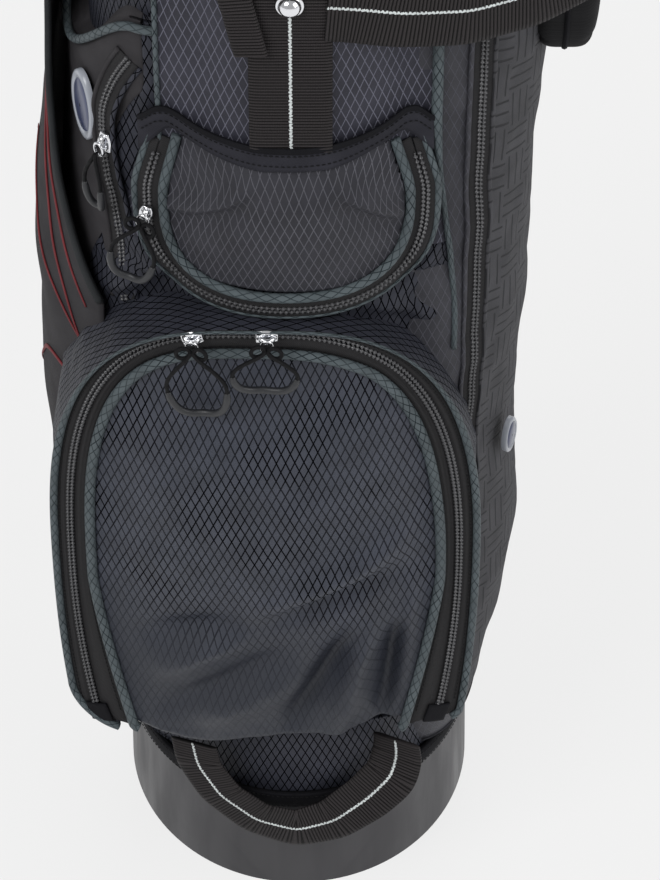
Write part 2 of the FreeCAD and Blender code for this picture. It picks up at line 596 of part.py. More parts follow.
def build_lower_handle():
    """The webbing loop below the ball pocket: a half ring that leans forward, hinged at its upper ends."""
    body = fresh("PartDesign::Body", "lower_handle_body")
    sketch = sketch_on(body, "handle_outline", "XZ_Plane")
    for number, offset in enumerate(("+", "-")):
        sketch.addGeometry(Part.ArcOfCircle(Part.Circle(Vector(0, 0, 0), Vector(0, 0, 1),
                                                        94.5 - 45 * number), math.pi, 2 * math.pi))
        add_bound(sketch, "Radius", number, f"handle_radius {offset} webbing_width / 2")
    sketch.addGeometry(Part.LineSegment(Vector(-94.5, 0, 0), Vector(-49.5, 0, 0)))
    sketch.addGeometry(Part.LineSegment(Vector(49.5, 0, 0), Vector(94.5, 0, 0)))
    for first, first_end, second, second_end in ((0, 1, 2, 1), (2, 2, 1, 1), (1, 2, 3, 1), (3, 2, 0, 2)):
        sketch.addConstraint(Sketcher.Constraint("Coincident", first, first_end, second, second_end))
    sketch.addConstraint(Sketcher.Constraint("Coincident", 0, 3, -1, 1))
    sketch.addConstraint(Sketcher.Constraint("Coincident", 1, 3, -1, 1))
    sketch.addConstraint(Sketcher.Constraint("PointOnObject", 0, 1, -1))
    sketch.addConstraint(Sketcher.Constraint("PointOnObject", 0, 2, -1))
    pad = body.newObject("PartDesign::Pad", "handle_thickness")
    pad.Profile = sketch
    bind(pad, Length="handle_thick")
    body.Tip = pad
    body.Placement = Placement(Vector(size("handle_x"), size("handle_y"), size("handle_z")),
                               Rotation(Vector(1, 0, 0), -size("handle_tilt")))
    node(body, "lower_handle")


def sketch_on(body, name, role):
    """A sketch on one of its own body's origin planes."""
    sketch = body.newObject("Sketcher::SketchObject", name)
    plane = [item for item in body.Origin.OriginFeatures if item.Role == role][0]
    sketch.AttachmentSupport = [(plane, "")]
    sketch.MapMode = "FlatFace"
    return sketch


def add_bound(sketch, kind, *arguments):
    """Adds a dimension to a sketch and ties it to the sheet. The last argument is the expression."""
    number = starting_length(arguments[-1])
    index = sketch.addConstraint(Sketcher.Constraint(kind, *arguments[:-1], number))
    sketch.setExpression(f"Constraints[{index}]", cells(arguments[-1]))


def starting_length(text):
    """A sketch dimension's starting value, read from the sheet."""
    names = {alias: size(alias) for alias in SIZES}
    parts = re.findall(r"[+\-*/()]|[\w.]+", str(text))
    numbers = [str(names[word]) if word in names else word for word in parts]
    return float(FreeCAD.Units.Quantity("".join(numbers)).Value)


def flat_run(name, start, end, low_z, high_z, thick):
    """A flat upright strip between two plan points."""
    run = Vector(end[0] - start[0], end[1] - start[1], 0)
    strip = fresh("Part::Box", name)
    strip.Length = run.Length
    strip.Width = thick
    strip.Height = high_z - low_z
    strip.Placement = Placement(Vector(start[0], start[1], low_z), Rotation(Vector(1, 0, 0), run))
    return strip


def build_strap():
    """The shoulder strap: webbing sewn on the front, the swinging webbing and pad, and the rear webbing."""
    low = size("strap_z") - size("webbing_width") / 2
    high = size("strap_z") + size("webbing_width") / 2
    thick = size("webbing_thick")
    start = (size("strap_start_x"), size("strap_start_y"))
    joint = (size("strap_joint_x"), size("strap_joint_y"))
    pad_point = (size("strap_pad_x"), size("strap_pad_y"))
    right = flat_run("strap_right", start, joint, low, high, thick)
    slanted = fresh("Part::Box", "strap_slanted")
    slanted.Length, slanted.Width, slanted.Height = 40, 100, 120
    slanted.Placement = Placement(Vector(-23.5, -170, 706), Rotation(Vector(0, 1, 0), -28)).multiply(
        Placement(Vector(-40, 0, 0), Rotation()))
    left_layer = cut("strap_left_layer", trunk("strap_left_over", "gap + webbing_thick"),
                     trunk("strap_left_under", "gap"))
    left_limit = box("strap_left_limit", ("-60", "-200", "680"), ("-webbing_width / 2 - gap", "-60", "811"))
    left = common("strap_left", left_layer, common("strap_left_zone", slanted, left_limit))
    node(group("strap_front_pair", right, left), "strap_webbing_front")

    joint_free = (joint[0] + 0.6, joint[1] + 0.3)
    pad_edge = (size("pad_edge_x"), size("pad_edge_y"))
    outwards = flat_run("strap_outwards", joint_free, pad_point, low, high, thick)
    back = flat_run("strap_back", pad_point, pad_edge, low, high, thick)
    node(fuse("strap_side", outwards, back), "strap_webbing_side")

    pad_body = fresh("PartDesign::Body", "shoulder_pad_body")
    sketch = sketch_on(pad_body, "pad_outline", "XZ_Plane")
    slot_sketch(sketch, "pad_width", "pad_long")
    pad = pad_body.newObject("PartDesign::Pad", "pad_thickness")
    pad.Profile = sketch
    bind(pad, Length="pad_thick")
    pad_body.Tip = pad
    pad_body.Placement = pad_placement()
    node(pad_body, "shoulder_pad")

    rear_start = (size("strap_rear_x"), size("strap_rear_y"))
    rear_end = (size("strap_rear_end_x"), size("strap_rear_end_y"))
    rear_low = size("strap_rear_z") - size("strap_rear_width") / 2
    rear_high = size("strap_rear_z") + size("strap_rear_width") / 2
    node(flat_run("strap_rear", rear_start, rear_end, rear_low, rear_high, thick), "strap_webbing_rear")


def slot_sketch(sketch, width, length):
    """A round-ended slot, upright, with the middle of its lower end at the sketch's origin."""
    half = size(width) / 2
    long = size(length)
    sketch.addGeometry(Part.ArcOfCircle(Part.Circle(Vector(0, half, 0), Vector(0, 0, 1), half), math.pi,
                                        2 * math.pi))
    sketch.addGeometry(Part.ArcOfCircle(Part.Circle(Vector(0, long - half, 0), Vector(0, 0, 1), half), 0,
                                        math.pi))
    sketch.addGeometry(Part.LineSegment(Vector(half, half, 0), Vector(half, long - half, 0)))
    sketch.addGeometry(Part.LineSegment(Vector(-half, long - half, 0), Vector(-half, half, 0)))
    for first, first_end, second, second_end in ((0, 2, 2, 1), (2, 2, 1, 1), (1, 2, 3, 1), (3, 2, 0, 1)):
        sketch.addConstraint(Sketcher.Constraint("Tangent", first, first_end, second, second_end))
    sketch.addConstraint(Sketcher.Constraint("Vertical", 2))
    sketch.addConstraint(Sketcher.Constraint("PointOnObject", 0, 3, -2))
    add_bound(sketch, "Radius", 0, f"{width} / 2")
    add_bound(sketch, "DistanceY", -1, 1, 0, 3, f"{width} / 2")
    add_bound(sketch, "DistanceY", 0, 3, 1, 3, f"{length} - {width}")


def pad_placement():
    """The pad hangs beside the right pocket: its lower end in front, its upper end behind it."""
    foot, top = Vector(172, -34, 648), Vector(146, 44, 864)
    upwards = top.sub(foot).normalize()
    outwards = Vector(1, 0.1, 0)
    outwards = outwards.sub(Vector(upwards).multiply(outwards.dot(upwards))).normalize()
    return Placement(foot, Rotation(outwards.cross(upwards), outwards, upwards, "ZYX"))


# ---------------------------------------------------------------- zip sliders and pulls

def drum_point(x, z, centre_x, centre_y, radius):
    """A point on a drum's front face, and the face's outward direction there."""
    across = x - centre_x
    outward = Vector(across, -math.sqrt(radius ** 2 - across ** 2), 0)
    return Vector(x, centre_y + outward.y, z), outward.normalize()


def slider_seats():
    """For each zip slider: a point on the pocket's face, the outward direction and the zip's direction."""
    seats = {}
    zip_radius = size("ball_half") - size("ball_coil_inset")
    for name, turn in (("ball_slider_left", "ball_left_turn"), ("ball_slider_right", "ball_right_turn")):
        angle = math.radians(size(turn))
        point, outward = drum_point(size("ball_x") + zip_radius * math.sin(angle),
                                    size("ball_arch_z") + zip_radius * math.cos(angle),
                                    size("ball_x"), size("ball_drum_y"), size("ball_drum"))
        run = Vector(math.cos(angle), 0, -math.sin(angle))
        seats[name] = (point, outward, run)
    small_radius = size("small_half") - size("small_coil_inset")
    angle = math.radians(size("small_turn"))
    point, outward = drum_point(size("small_x") + small_radius * math.sin(angle),
                                size("small_arch_z") - small_radius * math.cos(angle),
                                size("small_x"), size("small_drum_y"), size("small_drum"))
    seats["valuables_slider"] = (point, outward, Vector(math.cos(angle), 0, math.sin(angle)))
    for name, pocket, side in (("apparel_slider", "apparel", -1), ("side_slider", "side", 1)):
        x, y = size(f"{pocket}_zip_x"), size(f"{pocket}_zip_y")
        half_x = 57.0 if side < 0 else 68.0
        half_y = straight_zip(half_x, f"{pocket}_zip_x", f"{pocket}_zip_y")
        outward = Vector((x - side * size("side_offset")) / half_x ** 2, y / half_y ** 2, 0).normalize()
        seats[name] = (Vector(x, y, size(f"{pocket}_slider_z")), outward, Vector(0, 0, 1))
    return seats


def seat_placement(seat, lift):
    """A placement whose local X runs along the zip and whose local Z points away from the pocket."""
    point, outward, run = seat
    along = Vector(run).sub(Vector(outward).multiply(run.dot(outward))).normalize()
    return Placement(point.add(Vector(outward).multiply(lift)), Rotation(along, outward.cross(along),
                                                                         outward, "ZXY"))


def slider_lift(name):
    """How far a slider stands off the pocket: more on the side pockets, whose faces are less true."""
    extra = 1.6 if name in ("apparel_slider", "side_slider") else 0.0
    return size("zip_rise") + size("slider_lift") + extra


def pull_placement(name, seat):
    """A pull's own frame: origin in the slider's eye, X along the eye, Y straight down and Z outwards."""
    point, outward, _ = seat
    lift = slider_lift(name) + size("slider_thick") + 1.8
    down = Vector(0, 0, -1)
    return Placement(point.add(Vector(outward).multiply(lift)), Rotation(down.cross(outward), down, outward,
                                                                         "ZXY"))


def build_sliders():
    """Every zip slider: a flat body that rides the coil, and the eye that holds its pull."""
    long, wide, thick = size("slider_long"), size("slider_wide"), size("slider_thick")
    for name, seat in slider_seats().items():
        body = Part.makeBox(long, wide, thick, Vector(-long / 2, -wide / 2, 0))
        body.Placement = seat_placement(seat, slider_lift(name))
        eye = Part.makeCylinder(2.6, 2.6, Vector(-1.3, 0, 0), Vector(1, 0, 0))
        bore = Part.makeCylinder(size("pull_bore"), 6, Vector(-3, 0, 0), Vector(1, 0, 0))
        eye.Placement = pull_placement(name, seat)
        bore.Placement = pull_placement(name, seat)
        item = fresh("Part::Feature", f"{name}_piece")
        item.Shape = body.fuse(eye).cut(bore).removeSplitter()
        node(item, name)


def build_pulls():
    """Every zip pull: a wire hook through the slider's eye and a moulded loop below it."""
    long, thick, bar = size("pull_long"), size("pull_thick"), size("pull_bar")
    for name, seat in slider_seats().items():
        label = name.replace("slider", "pull")
        wide = size("ball_pull_wide") if name.startswith("ball") else size("pull_wide")
        plate = Part.makeBox(wide, long, thick, Vector(-wide / 2, 8, -thick / 2))
        hole = Part.makeBox(wide - 2 * bar, long - 2 * bar, 20, Vector(-wide / 2 + bar, 8 + bar, -10))
        hook = Part.makeBox(5.6, 1.8, 1.8, Vector(-2.8, -0.9, -0.9))
        arms = [Part.makeBox(1.4, 10, 1.8, Vector(x, -0.9, -0.9)) for x in (-2.8, 1.4)]
        item = fresh("Part::Feature", f"{label}_piece")
        item.Shape = plate.cut(hole).fuse([hook] + arms).removeSplitter()
        item.Placement = pull_placement(name, seat)
        node(item, label)


# ---------------------------------------------------------------- stand

def leg_frame(side):
    """The frame of one leg's swing: origin at its pivot, X outwards, Z up."""
    azimuth = size("swing_azimuth") if side > 0 else 180 - size("swing_azimuth")
    return Placement(Vector(side * size("pivot_x"), size("pivot_y"), size("pivot_z")),
                     Rotation(Vector(0, 0, 1), azimuth))


def link_frame(side):
    """The frame of one link: origin at its lower eye, Z towards its upper end."""
    drop = math.sqrt(size("link_length") ** 2 - size("link_inset") ** 2)
    lower = Vector(-size("link_inset"), 0, -size("link_length") - drop)
    lean = math.degrees(math.asin(size("link_inset") / size("link_length")))
    return leg_frame(side).multiply(Placement(lower, Rotation(Vector(0, 1, 0), lean)))


def build_legs():
    """Both legs: moulded head, aluminium tube, link clip with its stub, and rubber foot."""
    for side, word in ((-1, "left"), (1, "right")):
        frame = leg_frame(side)
        eye = along_y(f"head_eye_{word}", "head_radius", "-head_width / 2", "head_width / 2", 0, 0)
        neck = box(f"head_neck_{word}", ("-5", "-head_width / 2", "-14"), ("5", "head_width / 2", "0"))
        socket = cylinder(f"head_socket_{word}", "head_radius + 1", 28, 0, 0, -40)
        pin_hole = along_y(f"head_pin_hole_{word}", "pin_radius + running", -10, 10, 0, 0)
        tube_hole = cylinder(f"head_tube_hole_{word}", "leg_radius + 0.02", 27, 0, 0, -41)
        head = cut(f"head_{word}", fuse(f"head_joined_{word}", eye, neck, socket),
                   fuse(f"head_holes_{word}", pin_hole, tube_hole))
        tube = cut(f"tube_{word}", cylinder(f"tube_outer_{word}", "leg_radius", "leg_length - 14.1", 0, 0,
                                            "-leg_length"),
                   cylinder(f"tube_inner_{word}", "leg_radius - leg_wall", "leg_length", 0, 0,
                            "-leg_length - 1"))
        foot_body = cylinder(f"foot_body_{word}", "foot_radius", "foot_length", 0, 0, "-leg_length - 12")
        foot_hole = cylinder(f"foot_hole_{word}", "leg_radius + 0.02", "foot_length", 0, 0,
                             "-leg_length - 0.1")
        foot = cut(f"foot_{word}", foot_body, foot_hole)
        clip_body = cylinder(f"clip_body_{word}", "clip_radius", "clip_length", 0, 0,
                             "-link_length - clip_length / 2")
        stub = cylinder(f"clip_stub_{word}", "stub_radius", "link_plane + 3", 0, 0, "-link_length",
                        axis=(1, 0, 0), angle=-90 * side)
        clip_hole = cylinder(f"clip_hole_{word}", "leg_radius + 0.02", "clip_length + 2", 0, 0,
                             "-link_length - clip_length / 2 - 1")
        clip = cut(f"clip_{word}", fuse(f"clip_joined_{word}", clip_body, stub), clip_hole)
        for item, label in ((head, f"leg_head_{word}"), (tube, f"leg_tube_{word}"),
                            (foot, f"leg_foot_{word}"), (clip, f"leg_clip_{word}")):
            item.Placement = frame
            node(item, label)


def build_links():
    """The two slotted links between the sliding crosshead and the legs."""
    for side, word in ((-1, "left"), (1, "right")):
        inner = f"{side} * link_plane - link_thick / 2"
        outer = f"{side} * link_plane + link_thick / 2"
        bar = box(f"link_bar_{word}", ("-link_width / 2", inner, "0"),
                  ("link_width / 2", outer, "link_length"))
        low_end = along_y(f"link_low_end_{word}", "link_width / 2", inner, outer, 0, 0)
        high_end = along_y(f"link_high_end_{word}", "link_width / 2", inner, outer, 0, "link_length")
        eye = along_y(f"link_eye_{word}", "stub_hole + running", "-30", "30", 0, 0)
        slot = box(f"link_slot_{word}", ("-link_slot_width / 2", "-30", "link_length - link_slot + 3"),
                   ("link_slot_width / 2", "30", "link_length + 3"))
        link = cut(f"link_solid_{word}", fuse(f"link_joined_{word}", bar, low_end, high_end),
                   fuse(f"link_holes_{word}", eye, slot))
        link.Placement = link_frame(side)
        node(link, f"stand_link_{word}")


def build_actuator():
    """The sliding rod and the crosshead that carries both links."""
    lug_shapes = []
    crosshead_z = link_frame(1).Base.z
    for side in (-1, 1):
        frame = link_frame(side)
        upright = Placement(frame.Base, leg_frame(side).Rotation)
        reach = size("link_plane") + size("link_thick") / 2 + 0.3
        lug = Part.makeCylinder(7, 4.2, Vector(0, side * reach, 0), Vector(0, side, 0))
        pin = Part.makeCylinder(size("stub_hole"), size("link_thick") + 0.6, Vector(0, side * (reach + 0.1),
                                                                                    0), Vector(0, -side, 0))
        piece = lug.fuse(pin)
        piece.Placement = upright
        lug_shapes.append(piece)
    bar = Part.makeBox(92, 6.5, 16, Vector(-46, size("rod_y") - 3.8, crosshead_z - 8))
    boss = Part.makeCylinder(7, 22, Vector(0, size("rod_y"), crosshead_z - 14))
    rod_hole = Part.makeCylinder(size("rod_radius") + 0.02, 18, Vector(0, size("rod_y"), crosshead_z - 15))
    crosshead = fresh("Part::Feature", "crosshead_piece")
    crosshead.Shape = bar.fuse([boss] + lug_shapes).cut(rod_hole).removeSplitter()
    node(crosshead, "crosshead")

    rod = fresh("Part::Cylinder", "rod")
    bind(rod, Radius="rod_radius")
    rod.Height = crosshead_z + 2.9 - size("rod_bottom")
    place(rod, 0, "rod_y", "rod_bottom")
    node(rod, "actuator_rod")


def build_lever():
    """The lever under the base that lifts the rod when the bag tips onto its legs."""
    plate = box("lever_plate", ("-lever_half_x", "lever_hinge_y", "lever_hinge_z - 5"),
                ("lever_half_x", "lever_tip_y", "lever_hinge_z + 4"))
    barrel = along_x("lever_barrel", 5, "-lever_half_x", "lever_half_x", "lever_hinge_y", "lever_hinge_z")
    bore = along_x("lever_bore", "lever_pin + running", -40, 40, "lever_hinge_y", "lever_hinge_z")
    node(cut("lever_solid", fuse("lever_joined", plate, barrel), bore), "base_lever")


def build_bracket():
    """The bracket that carries both leg pivots, its screws, and all the hinge pins."""
    block = box("bracket_block", ("-bracket_half_x", "84", "bracket_bottom"),
                ("bracket_half_x", "bracket_y", "bracket_bottom + bracket_thick"))
    parts = [cut("bracket_plate", block, trunk("bracket_trunk", "gap"))]
    for side, word in ((-1, "left"), (1, "right")):
        for ear in (-1, 1):
            plate = fresh("Part::Box", f"ear_{word}_{ear}")
            bind(plate, Length=16, Width="ear_thick", Height=18)
            middle = ear * (size("head_width") / 2 + 0.3 + size("ear_thick") / 2)
            corner = Vector(-8, middle - size("ear_thick") / 2, -6)
            plate.Placement = leg_frame(side).multiply(Placement(corner, Rotation()))
            parts.append(plate)
    joined = fuse("bracket_joined", *parts)
    bores = []
    for side, word in ((-1, "left"), (1, "right")):
        bore = along_y(f"bracket_bore_{word}", "pin_radius + 0.02", -20, 20, 0, 0)
        bore_group = group(f"bracket_bore_set_{word}", bore)
        bore_group.Placement = leg_frame(side)
        bores.append(bore_group)
    for number, (x, y) in enumerate(screw_places()):
        bores.append(cylinder(f"bracket_screw_hole_{number}", "screw_radius + 0.1", 40, x, y,
                              "bracket_bottom - 10"))
    node(cut("bracket_solid", joined, fuse("bracket_holes", *bores)), "leg_bracket")

    screws = []
    for number, (x, y) in enumerate(screw_places()):
        shank = cylinder(f"screw_shank_{number}", "screw_radius", "bracket_thick + 10", x, y,
                         "bracket_bottom")
        head = cylinder(f"screw_head_{number}", "screw_radius + 1.5", 2.5, x, y, "bracket_bottom - 2.6")
        neck = cylinder(f"screw_neck_{number}", "screw_radius", 1, x, y, "bracket_bottom - 0.5")
        screws.append(fuse(f"screw_{number}", shank, head, neck))
    node(group("screw_set", *screws), "bracket_screws")

    pins = []
    for side, word in ((-1, "left"), (1, "right")):
        pin = along_y(f"pivot_pin_{word}", "pin_radius", -10.4, 10.4, 0, 0)
        pin_group = group(f"pivot_pin_set_{word}", pin)
        pin_group.Placement = leg_frame(side)
        pins.append(pin_group)
    pins.append(along_x("lever_pin_rod", "lever_pin", -35, 35, "lever_hinge_y", "lever_hinge_z"))
    node(group("pin_set", *pins), "hinge_pins")


def build_back():
    """The rod guides on the spine and the hip pad that straddles the rod."""
    guides = []
    for word, alias in (("low", "guide_low_z"), ("high", "guide_high_z")):
        block = box(f"guide_block_{word}", ("-10", "spine_y + spine_thick + 0.02", alias),
                    ("10", "rod_y + 8", f"{alias} + guide_height"))
        bore = cylinder(f"guide_bore_{word}", "rod_radius + 0.08", "guide_height + 2", 0, "rod_y",
                        f"{alias} - 1")
        guides.append(cut(f"guide_{word}", block, bore))
    node(group("guide_pair", *guides), "rod_guides")

    pad = box("hip_block", ("-hip_half_x", "spine_y + spine_thick + 0.05", "hip_bottom"),
              ("hip_half_x", "spine_y + spine_thick + hip_thick", "hip_bottom + hip_height"))
    groove = box("hip_groove", ("-6", "100", "hip_bottom - 1"),
                 ("6", "rod_y + 6", "hip_bottom + hip_height + 1"))
    node(cut("hip_solid", pad, groove), "hip_pad")


build_base()
build_trunk()
build_collar()
seam_shapes = obstacles()
build_ball_pocket(seam_shapes)
build_valuables_pocket(seam_shapes)
build_apparel_pocket()
build_side_pocket()
build_badges()
build_front_webbing()
build_lower_handle()
build_strap()
build_sliders()
build_pulls()
build_legs()
build_links()
build_actuator()
build_lever()
build_bracket()
build_back()
doc.recompute()

failed = [item.Name for item in doc.Objects if "Invalid" in item.State or "Error" in item.State]
if failed:
    raise SystemExit(f"these objects failed to recompute: {failed}")
for name, item in node_objects.items():
    if item.Shape.isNull() or not item.Shape.isValid():
        raise SystemExit(f"the shape of {name} is not valid")
    if not item.Shape.Solids:
        raise SystemExit(f"{name} holds no solid")

os.makedirs("parts", exist_ok=True)
for name, item in node_objects.items():
    item.Shape.exportStep(f"parts/{name}.step")
    print(name, len(item.Shape.Solids), round(item.Shape.Volume / 1000, 2), "cm3")
print(len(node_objects), "sub-parts written")
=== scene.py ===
import json
import math

import bpy
import numpy as np
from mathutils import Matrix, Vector

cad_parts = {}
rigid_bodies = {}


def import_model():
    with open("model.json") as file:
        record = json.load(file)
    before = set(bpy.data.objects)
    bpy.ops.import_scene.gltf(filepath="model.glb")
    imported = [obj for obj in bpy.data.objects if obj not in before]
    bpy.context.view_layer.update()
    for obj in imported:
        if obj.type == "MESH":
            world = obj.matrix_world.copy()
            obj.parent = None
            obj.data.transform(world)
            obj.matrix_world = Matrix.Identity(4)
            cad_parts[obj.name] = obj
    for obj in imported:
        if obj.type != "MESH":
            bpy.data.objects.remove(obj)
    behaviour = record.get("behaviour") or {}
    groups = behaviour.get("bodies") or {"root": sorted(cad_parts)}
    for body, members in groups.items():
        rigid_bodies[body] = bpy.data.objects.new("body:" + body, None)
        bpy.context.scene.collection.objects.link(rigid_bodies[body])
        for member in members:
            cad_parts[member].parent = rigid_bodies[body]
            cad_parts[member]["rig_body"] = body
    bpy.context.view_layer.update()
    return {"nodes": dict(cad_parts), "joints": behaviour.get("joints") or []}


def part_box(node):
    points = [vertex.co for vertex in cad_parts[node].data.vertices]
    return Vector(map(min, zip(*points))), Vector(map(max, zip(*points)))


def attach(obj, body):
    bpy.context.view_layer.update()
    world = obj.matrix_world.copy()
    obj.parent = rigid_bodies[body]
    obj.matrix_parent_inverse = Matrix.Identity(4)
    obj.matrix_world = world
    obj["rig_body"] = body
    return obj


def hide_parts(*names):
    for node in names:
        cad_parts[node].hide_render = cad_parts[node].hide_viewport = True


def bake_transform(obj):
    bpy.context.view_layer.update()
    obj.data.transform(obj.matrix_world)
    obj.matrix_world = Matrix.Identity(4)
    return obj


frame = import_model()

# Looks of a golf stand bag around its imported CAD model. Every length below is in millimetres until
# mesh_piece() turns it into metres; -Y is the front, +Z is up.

MM = 0.001
SEED = 11


def node_box(name):
    """Lowest and highest corner of a CAD node, in millimetres."""
    low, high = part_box(name)
    return np.array(low) / MM, np.array(high) / MM


def smooth(value, start, end):
    """A soft step from 0 at start to 1 at end."""
    share = np.clip((np.asarray(value, float) - start) / (end - start), 0, 1)
    return share * share * (3 - 2 * share)


def unit(vectors):
    """Vectors scaled to length 1."""
    vectors = np.asarray(vectors, float)
    return vectors / np.maximum(np.linalg.norm(vectors, axis=-1, keepdims=True), 1e-9)


# ---------------------------------------------------------------- materials

def shader(name):
    """A new material with its node tree and its principled shader."""
    material = bpy.data.materials.new(name)
    material.use_nodes = True
    tree = material.node_tree
    return material, tree, tree.nodes["Principled BSDF"]


def shades(ground, *levels):
    """A colour at several brightnesses."""
    return [[channel * level for channel in ground] for level in levels]


def value_of(tree, operation, first, second=0.0):
    """One math node; inputs are numbers or sockets."""
    item = tree.nodes.new("ShaderNodeMath")
    item.operation = operation
    for index, source in enumerate((first, second)):
        if isinstance(source, bpy.types.NodeSocket):
            tree.links.new(source, item.inputs[index])
        else:
            item.inputs[index].default_value = source
    return item.outputs[0]


def times(tree, first, second):
    """The product of two values."""
    return value_of(tree, "MULTIPLY", first, second)


def ranged(tree, source, low, high, to_low=0.0, to_high=1.0):
    """A value mapped smoothly from one range to another."""
    item = tree.nodes.new("ShaderNodeMapRange")
    item.interpolation_type = "SMOOTHSTEP"
    tree.links.new(source, item.inputs["Value"])
    for key, number in (("From Min", low), ("From Max", high), ("To Min", to_low), ("To Max", to_high)):
        item.inputs[key].default_value = number
    return item.outputs[0]


def noise(tree, coordinates, scale, detail=3.0, stretch=(1, 1, 1)):
    """A noise value over some coordinates."""
    mapping = tree.nodes.new("ShaderNodeMapping")
    mapping.inputs["Scale"].default_value = stretch
    tree.links.new(coordinates, mapping.inputs["Vector"])
    item = tree.nodes.new("ShaderNodeTexNoise")
    item.inputs["Scale"].default_value = scale
    item.inputs["Detail"].default_value = detail
    tree.links.new(mapping.outputs[0], item.inputs["Vector"])
    return item.outputs["Fac"]


def blended(tree, factor, first, second):
    """A colour between two colours or colour sockets."""
    item = tree.nodes.new("ShaderNodeMix")
    item.data_type = "RGBA"
    tree.links.new(factor, item.inputs["Factor"])
    for key, source in (("A", first), ("B", second)):
        socket = [entry for entry in item.inputs if entry.name == key and entry.type == "RGBA"][0]
        if isinstance(source, bpy.types.NodeSocket):
            tree.links.new(source, socket)
        else:
            socket.default_value = (*source, 1)
    return [entry for entry in item.outputs if entry.type == "RGBA"][0]


def bumped(tree, principled, height, distance):
    """Feeds a height value to the shader as a bump of a depth in millimetres."""
    item = tree.nodes.new("ShaderNodeBump")
    item.inputs["Distance"].default_value = distance * MM
    tree.links.new(height, item.inputs["Height"])
    tree.links.new(item.outputs[0], principled.inputs["Normal"])


def cloth_coordinates(tree):
    """The cloth's own coordinates in millimetres: across and along."""
    coordinates = tree.nodes.new("ShaderNodeTexCoord")
    split = tree.nodes.new("ShaderNodeSeparateXYZ")
    tree.links.new(coordinates.outputs["UV"], split.inputs[0])
    return coordinates.outputs["UV"], split.outputs["X"], split.outputs["Y"]


def diamond_lines(tree, across, along, wide, tall, thickness):
    """1 on a net of crossing threads whose diamonds have the given width and height, 0 between them."""
    first = value_of(tree, "DIVIDE", across, wide)
    second = value_of(tree, "DIVIDE", along, tall)
    edges = []
    for operation in ("ADD", "SUBTRACT"):
        turned = value_of(tree, "FRACT", value_of(tree, operation, first, second))
        edges.append(value_of(tree, "ABSOLUTE", value_of(tree, "SUBTRACT", turned, 0.5)))
    nearest = value_of(tree, "MAXIMUM", edges[0], edges[1])
    share = thickness / wide
    return ranged(tree, nearest, 0.5 - share, 0.5 - 0.35 * share)


def ripstop(name, ground, thread, rough=0.5, wide=5.35, tall=12.75, thickness=0.52, patchy=0.0,
            shine=0.22, fade=None):
    """Diamond ripstop: a fine plain weave crossed by thicker threads. The threads are real; their colour is
    in part painted sheen, pale on the upper panels and black on the ball panel, and patchy where they catch
    the light unevenly.
    """
    material, tree, principled = shader(name)
    cloth, across, along = cloth_coordinates(tree)
    lines = diamond_lines(tree, across, along, wide, tall, thickness)
    if patchy:
        lit = ranged(tree, noise(tree, cloth, 0.018, 2.0), 0.42, 0.62, 1.0 - patchy, 1.0)
        lines = times(tree, lines, lit)
    # fade gives heights on the cloth. Below them the threads are weakened and the ground is painted darker:
    # painted shade where the panel faces down, away from the light.
    if fade:
        slack = value_of(tree, "ADD", along, times(tree, noise(tree, cloth, 0.02, 2.0), 90.0))
        lines = times(tree, lines, ranged(tree, slack, fade[0] + 45, fade[1] + 45, 0.30, 1.0))
    weave = times(tree, value_of(tree, "SINE", times(tree, across, 9.0)),
                  value_of(tree, "SINE", times(tree, along, 9.0)))
    worn = ranged(tree, noise(tree, cloth, 0.05, 4.0), 0.3, 0.7)
    shaded = blended(tree, worn, *shades(ground, 0.86, 1.14))
    # Painted shade: below the fade heights the ground drops to 0.62 of its colour.
    if fade:
        lit_share = ranged(tree, slack, fade[0] + 45, fade[1] + 45)
        shaded = blended(tree, lit_share, [channel * 0.62 for channel in ground], shaded)
    tree.links.new(blended(tree, lines, shaded, thread), principled.inputs["Base Color"])
    height = value_of(tree, "ADD", lines, times(tree, weave, 0.18))
    bumped(tree, principled, height, 0.28)
    principled.inputs["Roughness"].default_value = rough
    dull = times(tree, value_of(tree, "SUBTRACT", 1.0, lines), shine)
    tree.links.new(dull, principled.inputs["Specular IOR Level"])
    return material


def plain_cloth(name, ground, pitch=0.8, rough=0.75, deboss=False):
    """A plain woven cloth, with a pressed pattern of stepped bars where it is wanted; the pressed grooves
    are painted darker, painted shade in them.
    """
    material, tree, principled = shader(name)
    cloth, across, along = cloth_coordinates(tree)
    step = 2 * math.pi / pitch
    weave = times(tree, value_of(tree, "SINE", times(tree, across, step)),
                  value_of(tree, "SINE", times(tree, along, step)))
    worn = ranged(tree, noise(tree, cloth, 0.04, 4.0), 0.3, 0.7)
    colour = blended(tree, worn, *shades(ground, 0.85, 1.15))
    height = times(tree, weave, 0.2)
    if deboss:
        bars = pressed_bars(tree, across, along)
        height = value_of(tree, "SUBTRACT", height, times(tree, bars, 1.6))
        # Painted shade: the pressed grooves drop to 0.55 of the cloth's colour.
        colour = blended(tree, bars, colour, [channel * 0.55 for channel in ground])
    tree.links.new(colour, principled.inputs["Base Color"])
    bumped(tree, principled, height, 0.35)
    principled.inputs["Roughness"].default_value = rough
    principled.inputs["Specular IOR Level"].default_value = 0.14
    return material


